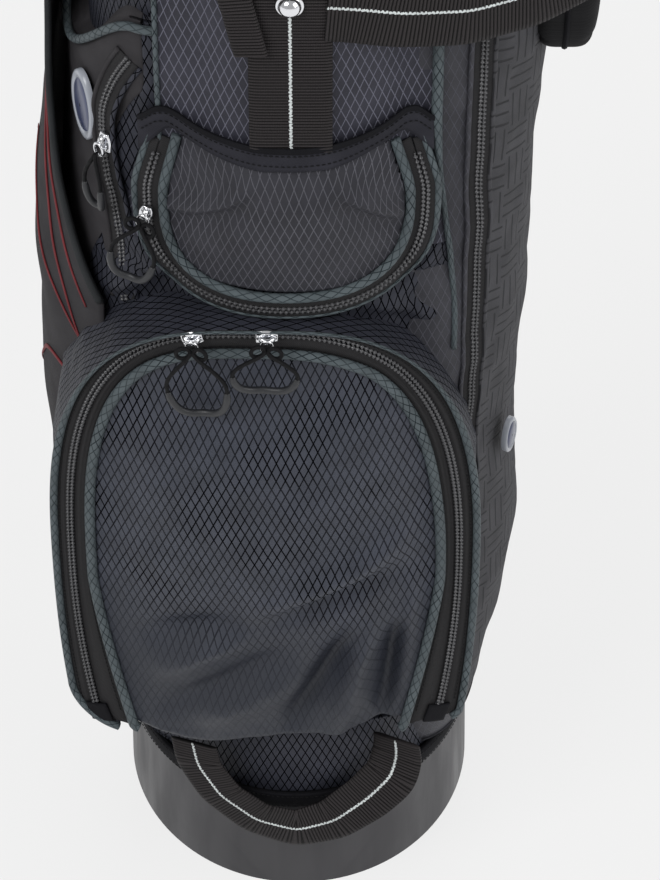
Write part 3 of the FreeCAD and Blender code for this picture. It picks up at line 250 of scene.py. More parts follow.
def pressed_bars(tree, across, along, cell=24.0, groove=0.13):
    """Grooves of a plain stepped pattern: upright and level bars that change places from cell to cell."""
    column = value_of(tree, "DIVIDE", across, cell)
    row = value_of(tree, "DIVIDE", value_of(tree, "ADD", along, times(tree, across, 0.35)), cell)
    parity = value_of(tree, "MODULO",
                      value_of(tree, "ADD", value_of(tree, "FLOOR", column),
                               value_of(tree, "FLOOR", row)), 2.0)
    parity = value_of(tree, "ABSOLUTE", parity)
    bars = []
    for source in (column, row):
        turned = value_of(tree, "FRACT", times(tree, source, 3.0))
        near = value_of(tree, "ABSOLUTE", value_of(tree, "SUBTRACT", turned, 0.5))
        bars.append(ranged(tree, near, groove, groove * 0.4))
    upright = times(tree, bars[0], parity)
    level = times(tree, bars[1], value_of(tree, "SUBTRACT", 1.0, parity))
    return value_of(tree, "ADD", upright, level)


def moulded(name, ground, rough=0.42, grain=0.12, scale=900.0, coat=0.0):
    """Moulded plastic or rubber: a fine grain, slight colour drift and scuffs."""
    material, tree, principled = shader(name)
    coordinates = tree.nodes.new("ShaderNodeTexCoord").outputs["Object"]
    drift = ranged(tree, noise(tree, coordinates, 9.0, 4.0), 0.35, 0.65)
    tree.links.new(blended(tree, drift, *shades(ground, 0.9, 1.1)), principled.inputs["Base Color"])
    bumped(tree, principled, noise(tree, coordinates, scale, 2.0), grain)
    scuffs = noise(tree, coordinates, 60.0, 5.0, stretch=(1, 1, 0.15))
    tree.links.new(ranged(tree, scuffs, 0.3, 0.7, rough - 0.07, rough + 0.09),
                   principled.inputs["Roughness"])
    principled.inputs["Coat Weight"].default_value = coat
    principled.inputs["Coat Roughness"].default_value = 0.25
    return material


def metal(name, ground, rough=0.18, brushed=0.0):
    """Plated, brushed or anodised metal."""
    material, tree, principled = shader(name)
    coordinates = tree.nodes.new("ShaderNodeTexCoord").outputs["Object"]
    streaks = noise(tree, coordinates, 500.0, 3.0, stretch=(1, 1, 0.04) if brushed else (1, 1, 1))
    tree.links.new(ranged(tree, streaks, 0.3, 0.7, rough * 0.8, rough * 1.3),
                   principled.inputs["Roughness"])
    bumped(tree, principled, streaks, 0.01 + 0.03 * brushed)
    principled.inputs["Base Color"].default_value = (*ground, 1)
    principled.inputs["Metallic"].default_value = 1.0
    return material


RIB_PITCH = 2.1


def ribbed(name, ground, pitch=RIB_PITCH):
    """Webbing: cross ribs with painted shade in the grooves between them, crossed by fine yarns that are
    painted darker between them too.
    """
    material, tree, principled = shader(name)
    _, across, along = cloth_coordinates(tree)
    rib = value_of(tree, "ABSOLUTE", value_of(tree, "SINE", times(tree, along, math.pi / pitch)))
    yarn = value_of(tree, "ABSOLUTE", value_of(tree, "SINE", times(tree, across, math.pi / 0.9)))
    light = times(tree, ranged(tree, rib, 0.15, 0.95), ranged(tree, yarn, 0.0, 0.6, 0.62, 1.0))
    # Painted shade: the grooves and the gaps between yarns drop to as little as 0.12 of the webbing's
    # colour.
    tree.links.new(blended(tree, light, [channel * 0.12 for channel in ground], ground),
                   principled.inputs["Base Color"])
    bumped(tree, principled, value_of(tree, "ADD", rib, times(tree, yarn, 0.3)), 0.4)
    principled.inputs["Roughness"].default_value = 0.6
    principled.inputs["Specular IOR Level"].default_value = 0.16
    return material


def zip_tape(name, ground):
    """Herringbone tape, painted darker in the troughs of its ribs: painted shade."""
    material, tree, principled = shader(name)
    _, across, along = cloth_coordinates(tree)
    turned_over = value_of(tree, "FRACT", value_of(tree, "DIVIDE", across, 3.4))
    zigzag = value_of(tree, "ABSOLUTE", value_of(tree, "SUBTRACT", turned_over, 0.5))
    slanted = value_of(tree, "ADD", times(tree, zigzag, 3.4), along)
    rib = value_of(tree, "SINE", times(tree, slanted, 2 * math.pi / 1.15))
    light = ranged(tree, rib, -0.6, 0.9)
    # Painted shade: the rib troughs drop to half the tape's colour.
    tree.links.new(blended(tree, light, [channel * 0.5 for channel in ground], ground),
                   principled.inputs["Base Color"])
    bumped(tree, principled, rib, 0.12)
    principled.inputs["Roughness"].default_value = 0.7
    principled.inputs["Specular IOR Level"].default_value = 0.14
    return material


MATERIALS = {}


def add_material(maker, name, *colours, **options):
    """Makes a material and files it under its name. Colours are linear red, green and blue."""
    MATERIALS[name] = maker(name, *colours, **options)


# The thread colours are in part painted sheen. The same threads are pale on the upper panels, the small
# pocket and the sides, where they catch the light, and black on the ball panel and in ripstop_dark, which
# is painted shade.
add_material(ripstop, "ripstop_upper", (0.030, 0.030, 0.042), (0.150, 0.152, 0.190), thickness=0.44)
add_material(ripstop, "ripstop_small", (0.026, 0.026, 0.033), (0.125, 0.126, 0.145), patchy=0.35,
             thickness=0.42)
# The ball panel's fade paints shade on its lower part, which faces down, away from the light.
add_material(ripstop, "ripstop_ball", (0.040, 0.045, 0.062), (0.0010, 0.0010, 0.0015), rough=0.42,
             patchy=0.25, shine=0.30, fade=(215, 320), thickness=0.62)
add_material(ripstop, "ripstop_side", (0.040, 0.040, 0.048), (0.105, 0.106, 0.125), patchy=0.3,
             thickness=0.36)
add_material(ripstop, "ripstop_dark", (0.030, 0.032, 0.044), (0.0015, 0.0015, 0.002), rough=0.5)
add_material(ripstop, "piping", (0.078, 0.096, 0.105), (0.020, 0.027, 0.031), wide=4.6, tall=9.0,
             thickness=0.42, patchy=0.35)
add_material(plain_cloth, "gusset", (0.018, 0.019, 0.024), rough=0.5)
add_material(plain_cloth, "charcoal", (0.036, 0.034, 0.037))
add_material(plain_cloth, "charcoal_pressed", (0.060, 0.060, 0.066), deboss=True, rough=0.68)
add_material(plain_cloth, "mesh_binding", (0.024, 0.024, 0.031), pitch=1.9, rough=0.8)
add_material(plain_cloth, "binding", (0.006, 0.006, 0.008), pitch=1.4, rough=0.8)
add_material(plain_cloth, "dark_tape", (0.024, 0.026, 0.028), pitch=2.4)
add_material(plain_cloth, "red_line", (0.150, 0.022, 0.026), pitch=1.2, rough=0.6)
add_material(ribbed, "webbing", (0.034, 0.030, 0.031))
add_material(plain_cloth, "white_thread", (0.62, 0.66, 0.66), pitch=1.3, rough=0.7)
add_material(plain_cloth, "pad_mesh", (0.012, 0.012, 0.013), pitch=2.6, rough=0.8)
add_material(zip_tape, "zip_tape", (0.036, 0.035, 0.037))
add_material(moulded, "coil", (0.060, 0.060, 0.064), rough=0.25, grain=0.0)
add_material(plain_cloth, "cord", (0.006, 0.006, 0.007), pitch=0.7, rough=0.55)
add_material(moulded, "grip", (0.016, 0.017, 0.020), rough=0.45, grain=0.05)
add_material(metal, "chrome", (0.86, 0.87, 0.90), rough=0.12)
add_material(moulded, "base_plastic", (0.027, 0.026, 0.030), rough=0.42, grain=0.03)
add_material(moulded, "hard_plastic", (0.016, 0.016, 0.018), rough=0.45)
add_material(moulded, "badge", (0.30, 0.32, 0.36), rough=0.3, grain=0.0, coat=0.5)
add_material(moulded, "badge_field", (0.020, 0.030, 0.085), rough=0.3, grain=0.0, coat=0.5)
add_material(plain_cloth, "lining", (0.018, 0.018, 0.022))
add_material(moulded, "fibreglass", (0.60, 0.60, 0.52), rough=0.35)
add_material(moulded, "foot_rubber", (0.014, 0.014, 0.014), rough=0.75, grain=0.2)
add_material(metal, "leg_alloy", (0.10, 0.10, 0.11), rough=0.32, brushed=1.0)
add_material(metal, "steel", (0.52, 0.52, 0.54), rough=0.28, brushed=0.6)


# ---------------------------------------------------------------- mesh pieces

def mesh_piece(name, points, faces, material, body="bag", slot=None, uv=None, replaces=(), thick=0.0):
    """One piece of the visual model. Points are in millimetres; uv gives cloth millimetres per point."""
    mesh = bpy.data.meshes.new(name)
    mesh.from_pydata((np.asarray(points, float) * MM).tolist(), [], faces)
    mesh.update()
    if uv is not None:
        layer = mesh.uv_layers.new(name="cloth")
        loops = np.zeros(len(mesh.loops), np.int32)
        mesh.loops.foreach_get("vertex_index", loops)
        layer.data.foreach_set("uv", np.asarray(uv, np.float32)[loops].ravel())
    mesh.polygons.foreach_set("use_smooth", [True] * len(mesh.polygons))
    item = bpy.data.objects.new(name, mesh)
    bpy.context.scene.collection.objects.link(item)
    mesh.materials.append(MATERIALS[material])
    if thick:
        solid = item.modifiers.new("thickness", "SOLIDIFY")
        solid.thickness = thick * MM
        solid.offset = -1
    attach(item, body)
    if replaces:
        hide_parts(*replaces)
    return item


def grid_faces(rows, columns, closed=False, keep=None, flip=False):
    """Quads between the points of a grid; keep says which points may be used."""
    faces = []
    last = columns if closed else columns - 1
    for row in range(rows - 1):
        for column in range(last):
            after = (column + 1) % columns
            corners = [row * columns + column, row * columns + after,
                       (row + 1) * columns + after, (row + 1) * columns + column]
            if keep is None or all(keep[corner] for corner in corners):
                faces.append(corners[::-1] if flip else corners)
    return faces


def grid_piece(name, grid, uv, material, closed=False, keep=None, flip=False, **options):
    """A piece from a grid of points. Points that no face uses are left out."""
    rows, columns = grid.shape[:2]
    faces = grid_faces(rows, columns, closed, None if keep is None else keep.ravel(), flip)
    used = np.zeros(rows * columns, bool)
    used[np.unique(np.array(faces))] = True
    renumbered = np.cumsum(used) - 1
    faces = [[int(renumbered[corner]) for corner in face] for face in faces]
    return mesh_piece(name, grid.reshape(-1, 3)[used], faces, material,
                      uv=np.asarray(uv, float).reshape(-1, 2)[used], **options)


def path_frames(path, up, closed=False):
    """Along, side and up directions at each point of a path; up is a guide direction per point."""
    before, after = np.roll(path, 1, 0), np.roll(path, -1, 0)
    if not closed:
        before[0], after[-1] = path[0], path[-1]
    along = unit(after - before)
    side = unit(np.cross(along, up))
    return along, side, unit(np.cross(side, along))


def eased(path, rounds):
    """A path with its corners worn round; its ends stay."""
    for _ in range(rounds):
        path[1:-1] = (path[:-2] + 2 * path[1:-1] + path[2:]) / 4
    return path


def path_lengths(path):
    """Distance from the start to each point of a path."""
    return np.concatenate([[0], np.cumsum(np.linalg.norm(np.diff(path, axis=0), axis=1))])


def running(steps):
    """Running sums along each row, starting from 0."""
    return np.concatenate([np.zeros((len(steps), 1)), np.cumsum(steps, 1)], 1)


def resampled(path, step):
    """A path with its points spaced evenly, about step apart."""
    path = np.asarray(path, float)
    lengths = path_lengths(path)
    count = max(3, int(round(lengths[-1] / step)) + 1)
    places = np.linspace(0, lengths[-1], count)
    return np.stack([np.interp(places, lengths, path[:, axis]) for axis in range(path.shape[1])], 1)


def swept(path, up, section, closed=False, scale=None):
    """Points and cloth coordinates of a section carried along a path; section rows are (side, up)."""
    section = np.asarray(section, float)
    _, side, upward = path_frames(path, up, closed)
    size = np.ones(len(path)) if scale is None else scale
    grid = (path[:, None, :]
            + side[:, None, :] * section[None, :, 0:1] * size[:, None, None]
            + upward[:, None, :] * section[None, :, 1:2] * size[:, None, None])
    around = path_lengths(np.vstack([section, section[:1]]))[:-1]
    uv = np.stack(np.meshgrid(around, path_lengths(path), indexing="xy"), -1)
    return grid, uv


def round_section(radius, sides=10, flat=1.0):
    """Points round a circle or a flattened circle."""
    turns = np.linspace(0, 2 * math.pi, sides, endpoint=False)
    return np.stack([radius * np.cos(turns), radius * flat * np.sin(turns)], 1)


def strip_section(wide, thick, columns=9, crown=0.0):
    """A flat, slightly crowned strip's outline, from one edge round to the other and back."""
    across = np.linspace(-wide / 2, wide / 2, columns)
    rise = crown * (1 - (2 * across / wide) ** 2)
    top = np.stack([across, thick / 2 + rise], 1)
    bottom = np.stack([across[::-1], -thick / 2 + rise[::-1]], 1)
    return np.vstack([top, bottom])


def tube_piece(name, grid, uv, material, flip=False, **options):
    """A closed solid from rows of points that each go round it, with a face at both ends."""
    rows, columns = grid.shape[:2]
    first = list(range(columns))
    last = [(rows - 1) * columns + column for column in first]
    ends = [first, last[::-1]] if flip else [first[::-1], last]
    return mesh_piece(name, grid.reshape(-1, 3), grid_faces(rows, columns, True, flip=flip) + ends,
                      material, uv=uv.reshape(-1, 2), **options)


def capped_sweep(name, path, up, section, material, scale=None, closed=False, **options):
    """A swept solid with closed ends, or a closed ring."""
    grid, uv = swept(path, up, section, closed, scale)
    if not closed:
        return tube_piece(name, grid, uv, material, flip=True, **options)
    rows, columns = grid.shape[:2]
    faces = grid_faces(rows, columns, True, flip=True)
    last = (rows - 1) * columns
    for column in range(columns):
        after = (column + 1) % columns
        faces.append([last + after, last + column, column, after])
    return mesh_piece(name, grid.reshape(-1, 3), faces, material, uv=uv.reshape(-1, 2), **options)


# ---------------------------------------------------------------- the bag's surfaces

def oval_half(z, rows):
    """Half widths of an oval section at a height, smooth between rows of (z, half x, half y)."""
    rows = np.asarray(rows, float)
    return np.interp(z, rows[:, 0], rows[:, 1]), np.interp(z, rows[:, 0], rows[:, 2])


TRUNK = [(64, 108.5, 118.0), (240, 112, 118.3), (420, 114, 118.3), (824, 116.5, 118.5)]
LEFT = [(92, 42, 80), (150, 58, 92), (300, 67, 92.5), (480, 70, 91.5), (600, 59, 95.5),
        (700, 51, 100.5), (745, 45, 94)]
SLASH = [(140, 56, 91), (200, 68, 94.5), (300, 80, 96), (480, 84, 95), (600, 72, 98), (700, 63, 99),
         (760, 60, 98)]
RIGHT = [(92, 46, 80), (150, 58, 92), (240, 68, 98.5), (330, 62, 101.5), (480, 67, 98.5),
         (640, 73, 96.5), (740, 70, 97.5), (795, 62, 101.5)]
SIDE_OFFSET = 72.0


def soft_rows(rows, step=8.0, rounds=6):
    """The rows resampled and smoothed, so that a side has no corners in its outline."""
    rows = np.asarray(rows, float)
    heights = np.arange(rows[0, 0], rows[-1, 0] + step / 2, step)
    columns = [np.interp(heights, rows[:, 0], rows[:, column]) for column in (1, 2)]
    return np.stack([heights, *(eased(column, rounds) for column in columns)], 1)


LEFT, SLASH, RIGHT = soft_rows(LEFT), soft_rows(SLASH), soft_rows(RIGHT)


def oval_front(x, z, rows, middle=0.0):
    """How far an oval body reaches towards the front at x and z; far back where it has ended."""
    half_x, half_y = oval_half(z, rows)
    share = 1 - ((x - middle) / half_x) ** 2
    return np.where(share > 0, half_y * np.sqrt(np.maximum(share, 0)), -50.0)


def soft_max(first, second, width=5.0):
    """The larger of two values, with a rounded change-over."""
    gap = np.clip(0.5 + 0.5 * (first - second) / width, 0, 1)
    return second + (first - second) * gap + width * gap * (1 - gap)


def bag_front(x, z):
    """How far the bag's body reaches towards the front: the trunk and both side pockets, blended."""
    trunk = oval_front(x, z, TRUNK)
    return soft_max(soft_max(trunk, oval_front(x, z, LEFT, -SIDE_OFFSET)),
                    oval_front(x, z, RIGHT, SIDE_OFFSET))


# The ball pocket: the front of a big drum inside a rounded arch. A band of piping, tape, coil and piping
# runs round it. At the top the band leans forward over the panel.
BALL_X = -17.0
BALL_DRUM = 259.0
BALL_DRUM_Y = 118.0
BALL_BOTTOM = 161.0
BALL_MIDDLE = 300.0
# Each line of the band: half width, rise above the middle, roundness left and right, how far its right
# half is shifted at the top, how much and how suddenly it narrows below, its corner radii, its lowest
# height and how much is taken off its right half.
BALL_LINES = ({"half": 129.0, "rise": 225.0, "left_power": 2.7, "right_power": 2.55, "shift": 0.0,
               "taper": 7.0, "bend": 2.3, "corner": 30.0, "right_corner": 6.0, "low": 161.0,
               "right_trim": 1.5},
              {"half": 118.5, "rise": 221.5, "left_power": 2.75, "right_power": 2.45, "shift": 1.0,
               "taper": 11.0, "bend": 2.0, "corner": 10.0, "right_corner": 4.0, "low": 166.0,
               "right_trim": 2.2},
              {"half": 106.0, "rise": 204.5, "left_power": 3.0, "right_power": 2.4, "shift": 5.0,
               "taper": 21.0, "bend": 1.3, "corner": 4.0, "right_corner": 3.0, "low": 166.0,
               "right_trim": 1.0})


def ball_front(x, z):
    """How far the ball pocket's taut face reaches towards the front."""
    drum = np.sqrt(np.maximum(BALL_DRUM ** 2 - (x - BALL_X) ** 2, 1.0)) - BALL_DRUM_Y
    return drum - 1.5 * smooth(z, 470, 530)


def ball_curve(share):
    """A line of the ball pocket's band as (x, z): 0 is the outer piping, 0.5 the coil, 1 the inner one."""
    first = BALL_LINES[0 if share < 0.5 else 1]
    second = BALL_LINES[1 if share < 0.5 else 2]
    part = (share * 2) % 1 if share < 1 else 1.0
    size = {key: first[key] + (second[key] - first[key]) * part for key in first}
    turns = np.linspace(0, math.pi / 2, 120)
    sides = []
    for side in ("left", "right"):
        power = size[f"{side}_power"]
        corner = size["corner"] if side == "left" else size["right_corner"]
        high = BALL_MIDDLE + size["rise"] * np.sin(turns) ** (2 / power)
        high_half = size["half"] * np.cos(turns) ** (2 / power)
        low = np.linspace(size["low"] + corner, BALL_MIDDLE, 40, endpoint=False)
        drop = (BALL_MIDDLE - low) / (BALL_MIDDLE - size["low"])
        low_half = size["half"] - size["taper"] * drop ** size["bend"]
        bend = np.linspace(0, math.pi / 2, 12, endpoint=False)
        corner_half = low_half[0] - corner * (1 - np.sin(bend))
        corner_z = size["low"] + corner * (1 - np.cos(bend))
        half = np.concatenate([corner_half, low_half, high_half])
        z = np.concatenate([corner_z, low, high])
        if side == "right":
            shift = size["shift"] * smooth(z, 360, 500) * (1 - smooth(z, 480, 505))
            half = half - size["right_trim"] + shift
            half[-1] = 0.0
        sides.append(np.stack([BALL_X + (half if side == "right" else -half), z], 1))
    return np.vstack([sides[0], sides[1][::-1][1:]])


def ball_lean(z):
    """How far the band's inner edge lies behind its outer edge: the band overhangs at the top."""
    return 5.0 * smooth(z, 420, 505)


def band_path(share, lift, step=2.2, lowest=0.0):
    """A 3-D line of the band with its outward directions."""
    flat = resampled(ball_curve(share), step)
    flat = flat[flat[:, 1] >= lowest]
    return on_surface(flat, lambda x, z: ball_front(x, z) - share * ball_lean(z), lift)


def ball_zip_place(x):
    """Where the ball pocket's zip passes an x near its top, and the direction out of it."""
    path, outward = band_path(COIL_SHARE, 2.6, 1.0, 400.0)
    nearest = np.argmin(np.abs(path[:, 0] - x))
    return path[nearest], unit(outward[nearest] * np.array([1, 1, 0.0]))


COIL_SHARE = 0.5
BALL_ZIP_END = 177.0


def moved_in(outline, inset):
    """An open outline moved towards its right-hand side."""
    along = unit(np.gradient(outline, axis=0))
    inward = np.stack([along[:, 1], -along[:, 0]], 1)
    return outline + inward * inset


def on_surface(flat, front, lift=0.0):
    """Puts (x, z) points on a front-facing surface; also gives the outward direction at each."""
    x, z = flat[:, 0], flat[:, 1]
    step = 0.5
    slope_x = (front(x + step, z) - front(x - step, z)) / (2 * step)
    slope_z = (front(x, z + step) - front(x, z - step)) / (2 * step)
    outward = unit(np.stack([-slope_x, -np.ones_like(x), -slope_z], 1))
    points = np.stack([x, -front(x, z), z], 1)
    return points + outward * lift, outward


def inside_outline(x, z, outline):
    """Whether points lie inside an outline, closed by a straight line between its ends."""
    loop = np.vstack([outline, outline[:1]])
    inside = np.zeros(x.shape, bool)
    for (x0, z0), (x1, z1) in zip(loop[:-1], loop[1:]):
        if abs(z1 - z0) < 1e-9:
            continue
        crosses = ((z0 > z) != (z1 > z)) & (x < (x1 - x0) * (z - z0) / (z1 - z0) + x0)
        inside ^= crosses
    return inside


def fold(x, z, start, end, width, height):
    """A straight fold: a rounded ridge between two (x, z) points that fades at its ends."""
    start, end = np.array(start, float), np.array(end, float)
    run = end - start
    length = np.linalg.norm(run)
    run /= length
    along = (x - start[0]) * run[0] + (z - start[1]) * run[1]
    away = (x - start[0]) * -run[1] + (z - start[1]) * run[0]
    begun = smooth(along, -0.25 * length, 0.3 * length)
    ended = smooth(along, 0.7 * length, 1.25 * length)
    fade = begun * (1 - ended)
    return height * np.exp(-(away / width) ** 2) * fade


def folded(x, z, folds):
    """The sum of several folds; a fold with a negative height is a valley."""
    return sum(fold(x, z, *row) for row in folds)


def ripples(x, z, seed, scale, octaves=3):
    """Gentle waves from a few seeded sines."""
    dice = np.random.default_rng(seed)
    total = np.zeros(np.broadcast(x, z).shape)
    for octave in range(octaves):
        for _ in range(4):
            turn = dice.uniform(0, math.pi)
            phase = dice.uniform(0, 2 * math.pi)
            step = 2 * math.pi / (scale / 1.8 ** octave) * dice.uniform(0.7, 1.3)
            distance = x * math.cos(turn) + z * math.sin(turn)
            total += np.sin(distance * step + phase) / (4 * 1.7 ** octave)
    return total


# ---------------------------------------------------------------- camera, light and floor

CAMERA_PLACE = (0.0213, -1.728, 2.059)
CAMERA_TILT = 44.4
CAMERA_LENS = 159.5
FLOOR_REACH = 12.0
FLOOR_GLOW = 0.785
SKY_STRENGTH = 0.40
LAMPS = (("key", (-1.6, -1.9, 3.0), 1.6, 62), ("fill", (2.2, -1.2, 1.8), 1.8, 26),
         ("back", (0.6, 2.6, 2.6), 2.0, 40))
LAMP_AIM = (0, 0, 0.4)


def build_stage():
    """A camera that looks down on the front, a pale floor and soft light from above; in metres."""
    scene = bpy.context.scene
    camera = bpy.data.objects.new("camera", bpy.data.cameras.new("camera"))
    camera.location = CAMERA_PLACE
    camera.rotation_euler = (math.radians(CAMERA_TILT), 0, 0)
    camera.data.lens = CAMERA_LENS
    camera.data.sensor_width = 36
    scene.collection.objects.link(camera)
    scene.camera = camera

    floor = bpy.data.objects.new("floor", bpy.data.meshes.new("floor"))
    reach = FLOOR_REACH
    corners = [(-reach, -reach, 0), (reach, -reach, 0), (reach, reach, 0), (-reach, reach, 0)]
    floor.data.from_pydata(corners, [], [(0, 1, 2, 3)])
    material, tree, principled = shader("floor")
    coordinates = tree.nodes.new("ShaderNodeTexCoord").outputs["Object"]
    tone = ranged(tree, noise(tree, coordinates, 1.5), 0.3, 0.7)
    tree.links.new(blended(tree, tone, (0.075, 0.075, 0.075), (0.085, 0.085, 0.085)),
                   principled.inputs["Base Color"])
    principled.inputs["Emission Color"].default_value = (1, 1, 1, 1)
    principled.inputs["Emission Strength"].default_value = FLOOR_GLOW
    principled.inputs["Roughness"].default_value = 0.9
    floor.data.materials.append(material)
    scene.collection.objects.link(floor)

    world = bpy.data.worlds.new("studio")
    scene.world = world
    world.use_nodes = True
    world.node_tree.nodes["Background"].inputs["Color"].default_value = (1, 1, 1, 1)
    world.node_tree.nodes["Background"].inputs["Strength"].default_value = SKY_STRENGTH
    for name, place, size, power in LAMPS:
        lamp = bpy.data.objects.new(name, bpy.data.lights.new(name, "AREA"))
        lamp.data.size = size
        lamp.data.energy = power
        lamp.location = place
        lamp.rotation_euler = (Vector(LAMP_AIM) - Vector(place)).to_track_quat("-Z", "Y").to_euler()
        scene.collection.objects.link(lamp)
    scene.view_settings.view_transform = "Standard"


# ---------------------------------------------------------------- trunk and front panel

def oval_grid(rows, middle, angles, heights, push):
    """Grid points and cloth coordinates on a stack of ovals; push(angle, z) moves them outwards."""
    half_x, half_y = oval_half(heights, rows)
    angle, z = np.meshgrid(angles, heights, indexing="xy")
    half_x, half_y = half_x[:, None], half_y[:, None]
    bulge = push(angle, z)
    normal = unit(np.stack([np.sin(angle) / half_x, -np.cos(angle) / half_y], -1))
    x = middle + half_x * np.sin(angle) + normal[..., 0] * bulge
    y = -half_y * np.cos(angle) + normal[..., 1] * bulge
    grid = np.stack([x, y, z], -1)
    across = running(np.linalg.norm(np.diff(grid[..., :2], axis=1), axis=-1))
    middle_column = np.argmin(np.abs(angles))
    across -= across[:, middle_column:middle_column + 1]
    return grid, np.stack([across, z], -1)


def build_trunk():
    """The sewn tube: a slack cloth skin with level sags and upright folds."""
    low, high = node_box("body_shell")
    angles = np.linspace(-math.pi, math.pi, 241)
    heights = np.arange(low[2], high[2] + 1, 5.0)

    def push(angle, z):
        slack = 0.9 * ripples(angle * 110, z, SEED, 120)
        behind_panel = (1 - smooth(np.abs(angle), 0.45, 0.62)) * smooth(z, 470, 500)
        free = smooth(z, low[2], low[2] + 40) * (1 - smooth(z, high[2] - 60, high[2] - 10))
        return slack * free - 2.2 - 4.0 * behind_panel

    grid, uv = oval_grid(TRUNK, 0.0, angles, heights, push)
    grid_piece("trunk_cloth", grid, uv, "ripstop_dark", slot="ripstop", replaces=["body_shell"],
               thick=2.0, flip=True)


def panel_left(z):
    """Where the front panel's left edge runs: upright above, spreading below over the ball pocket."""
    return -73.0 - 27.0 * (1 - smooth(z, 575, 612)) - 20.0 * (1 - smooth(z, 500, 585))


def panel_right(z):
    """Where the front panel's right edge runs."""
    return 80.0 + 13.0 * (1 - smooth(z, 480, 660))


# Folds are (start, end, width, height), with start and end as (x, z).
PANEL_FOLDS = (((-112, 505), (-70, 545), 9, 8), ((-95, 560), (-60, 520), 7, 5),
               ((86, 560), (58, 515), 8, 6), ((40, 525), (82, 500), 7, 5),
               ((-100, 530), (-60, 528), 6, -4), ((60, 538), (84, 530), 6, -4),
               ((-66, 640), (-62, 800), 7, 2.2), ((-48, 660), (-52, 800), 8, -1.6))
PANEL_LIFT = 1.4


def front_panel(x, z):
    """The front panel's surface: the body's shape with soft folds above the ball pocket."""
    slack = 1.1 * ripples(x, z, SEED + 1, 90)
    flank = smooth(np.abs(x), 20, 60)
    return bag_front(x, z) + PANEL_LIFT + slack * (0.3 + 0.7 * flank) + folded(x, z, PANEL_FOLDS)


def build_front_panel():
    """The ripstop front panel between its two seams, with a piped seam on each side."""
    low_z, high_z = 455.0, node_box("front_webbing")[1][2]
    columns = np.linspace(0, 1, 121)
    heights = np.arange(low_z, high_z, 2.5)
    left, right = panel_left(heights)[:, None], panel_right(heights)[:, None]
    x = left + (right - left) * columns[None, :]
    z = np.repeat(heights[:, None], len(columns), 1)
    grid = np.stack([x, -front_panel(x, z), z], -1)
    across = running(np.linalg.norm(np.diff(grid, axis=1), axis=-1))
    across -= across[:, 60:61]
    uv = np.stack([across, z], -1)
    # The panel's lower part takes ripstop_dark, whose black threads are in part painted shade; its upper
    # part takes the pale threads, which are in part painted sheen.
    grid_piece("front_panel_upper", grid, uv, "ripstop_upper", keep=z > 556, slot="ripstop", thick=1.2)
    grid_piece("front_panel_lower", grid, uv, "ripstop_dark", keep=z < 559, slot="ripstop", thick=1.2)
    for name, edge, radius in (("left", panel_left, 1.6), ("right", panel_right, 3.2)):
        seam_z = np.arange(628.0 if name == "left" else 470.0, high_z, 3.0)
        flat = np.stack([edge(seam_z), seam_z], 1)
        path, outward = on_surface(flat, front_panel, radius * 0.5)
        thin = 0.55 + 0.45 * smooth(seam_z, 600, 660)
        capped_sweep(f"panel_piping_{name}", path, outward, round_section(radius), "piping", scale=thin,
                     slot="piping")


# ---------------------------------------------------------------- zips

def zip_coil(name, path, outward, slot="zip", spread=1.35, pitch=3.1, radius=1.55, **options):
    """A closed coil: two rows of beads whose teeth meet in the middle."""
    fine = resampled(np.hstack([path, outward]), pitch / 6)
    centre, up = fine[:, :3], unit(fine[:, 3:])
    _, side, _ = path_frames(centre, up)
    lengths = path_lengths(centre)
    for row, shift in enumerate((-1, 1)):
        phase = 0 if shift < 0 else math.pi
        beads = 0.60 + 0.40 * np.cos(lengths * 2 * math.pi / pitch + phase)
        capped_sweep(f"{name}_{'ab'[row]}", centre + side * shift * spread, up,
                     round_section(radius, 6), "coil", scale=beads, slot=slot, **options)


def zip_strip(name, flat, front, wide, lift, material, slot, **options):
    """A flat band that follows an outline on a surface."""
    path, outward = on_surface(resampled(flat, 2.5), front, lift)
    return capped_sweep(name, path, outward, strip_section(wide, 0.9, 7), material, slot=slot,
                        **options)


# ---------------------------------------------------------------- ball pocket

BALL_CREASES = (((-92, 222), (-18, 292), 13, 10), ((-84, 262), (56, 318), 12, -10),
                ((-30, 286), (64, 344), 12, 7), ((26, 168), (44, 268), 9, 12),
                ((54, 172), (62, 262), 7, -11), ((70, 190), (74, 300), 7, 7),
                ((-4, 176), (34, 262), 9, -11), ((-60, 182), (0, 226), 15, 8),
                ((-78, 190), (-6, 254), 9, -6))
BALL_CROWN = 13.0
BALL_DENT = -5.0


def ball_panel_front(x, z):
    """The ball pocket's filled, creased front: crowned above, dented with slanting folds below."""
    share = np.clip(((x - BALL_X) / 100) ** 2, 0, 1)
    height = (z - BALL_BOTTOM) / 360
    crown = BALL_CROWN * (1 - share) * smooth(height, 0.02, 0.5) * (1 - smooth(height, 0.62, 0.97))
    lower = 1 - smooth(z, 265, 335)
    creases = folded(x, z, BALL_CREASES)
    dent = BALL_DENT * lower * (1 - share)
    small = 0.8 * ripples(x, z, SEED + 2, 70) + 0.35 * ripples(x, z, SEED + 12, 26) * lower
    edge = np.interp(z, *ball_edge_rows())
    settled = smooth(edge - np.abs(x - BALL_X - 3), 2, 30)
    return ball_front(x, z) - ball_lean(z) + 0.6 + (crown + creases + dent + small) * settled


def ball_edge_rows():
    """Heights and half widths of the panel's edge, for looking one up from the other."""
    flat = ball_curve(1.0)
    left = flat[:len(flat) // 2 + 1]
    return left[:, 1], np.abs(left[:, 0] - BALL_X - 3)


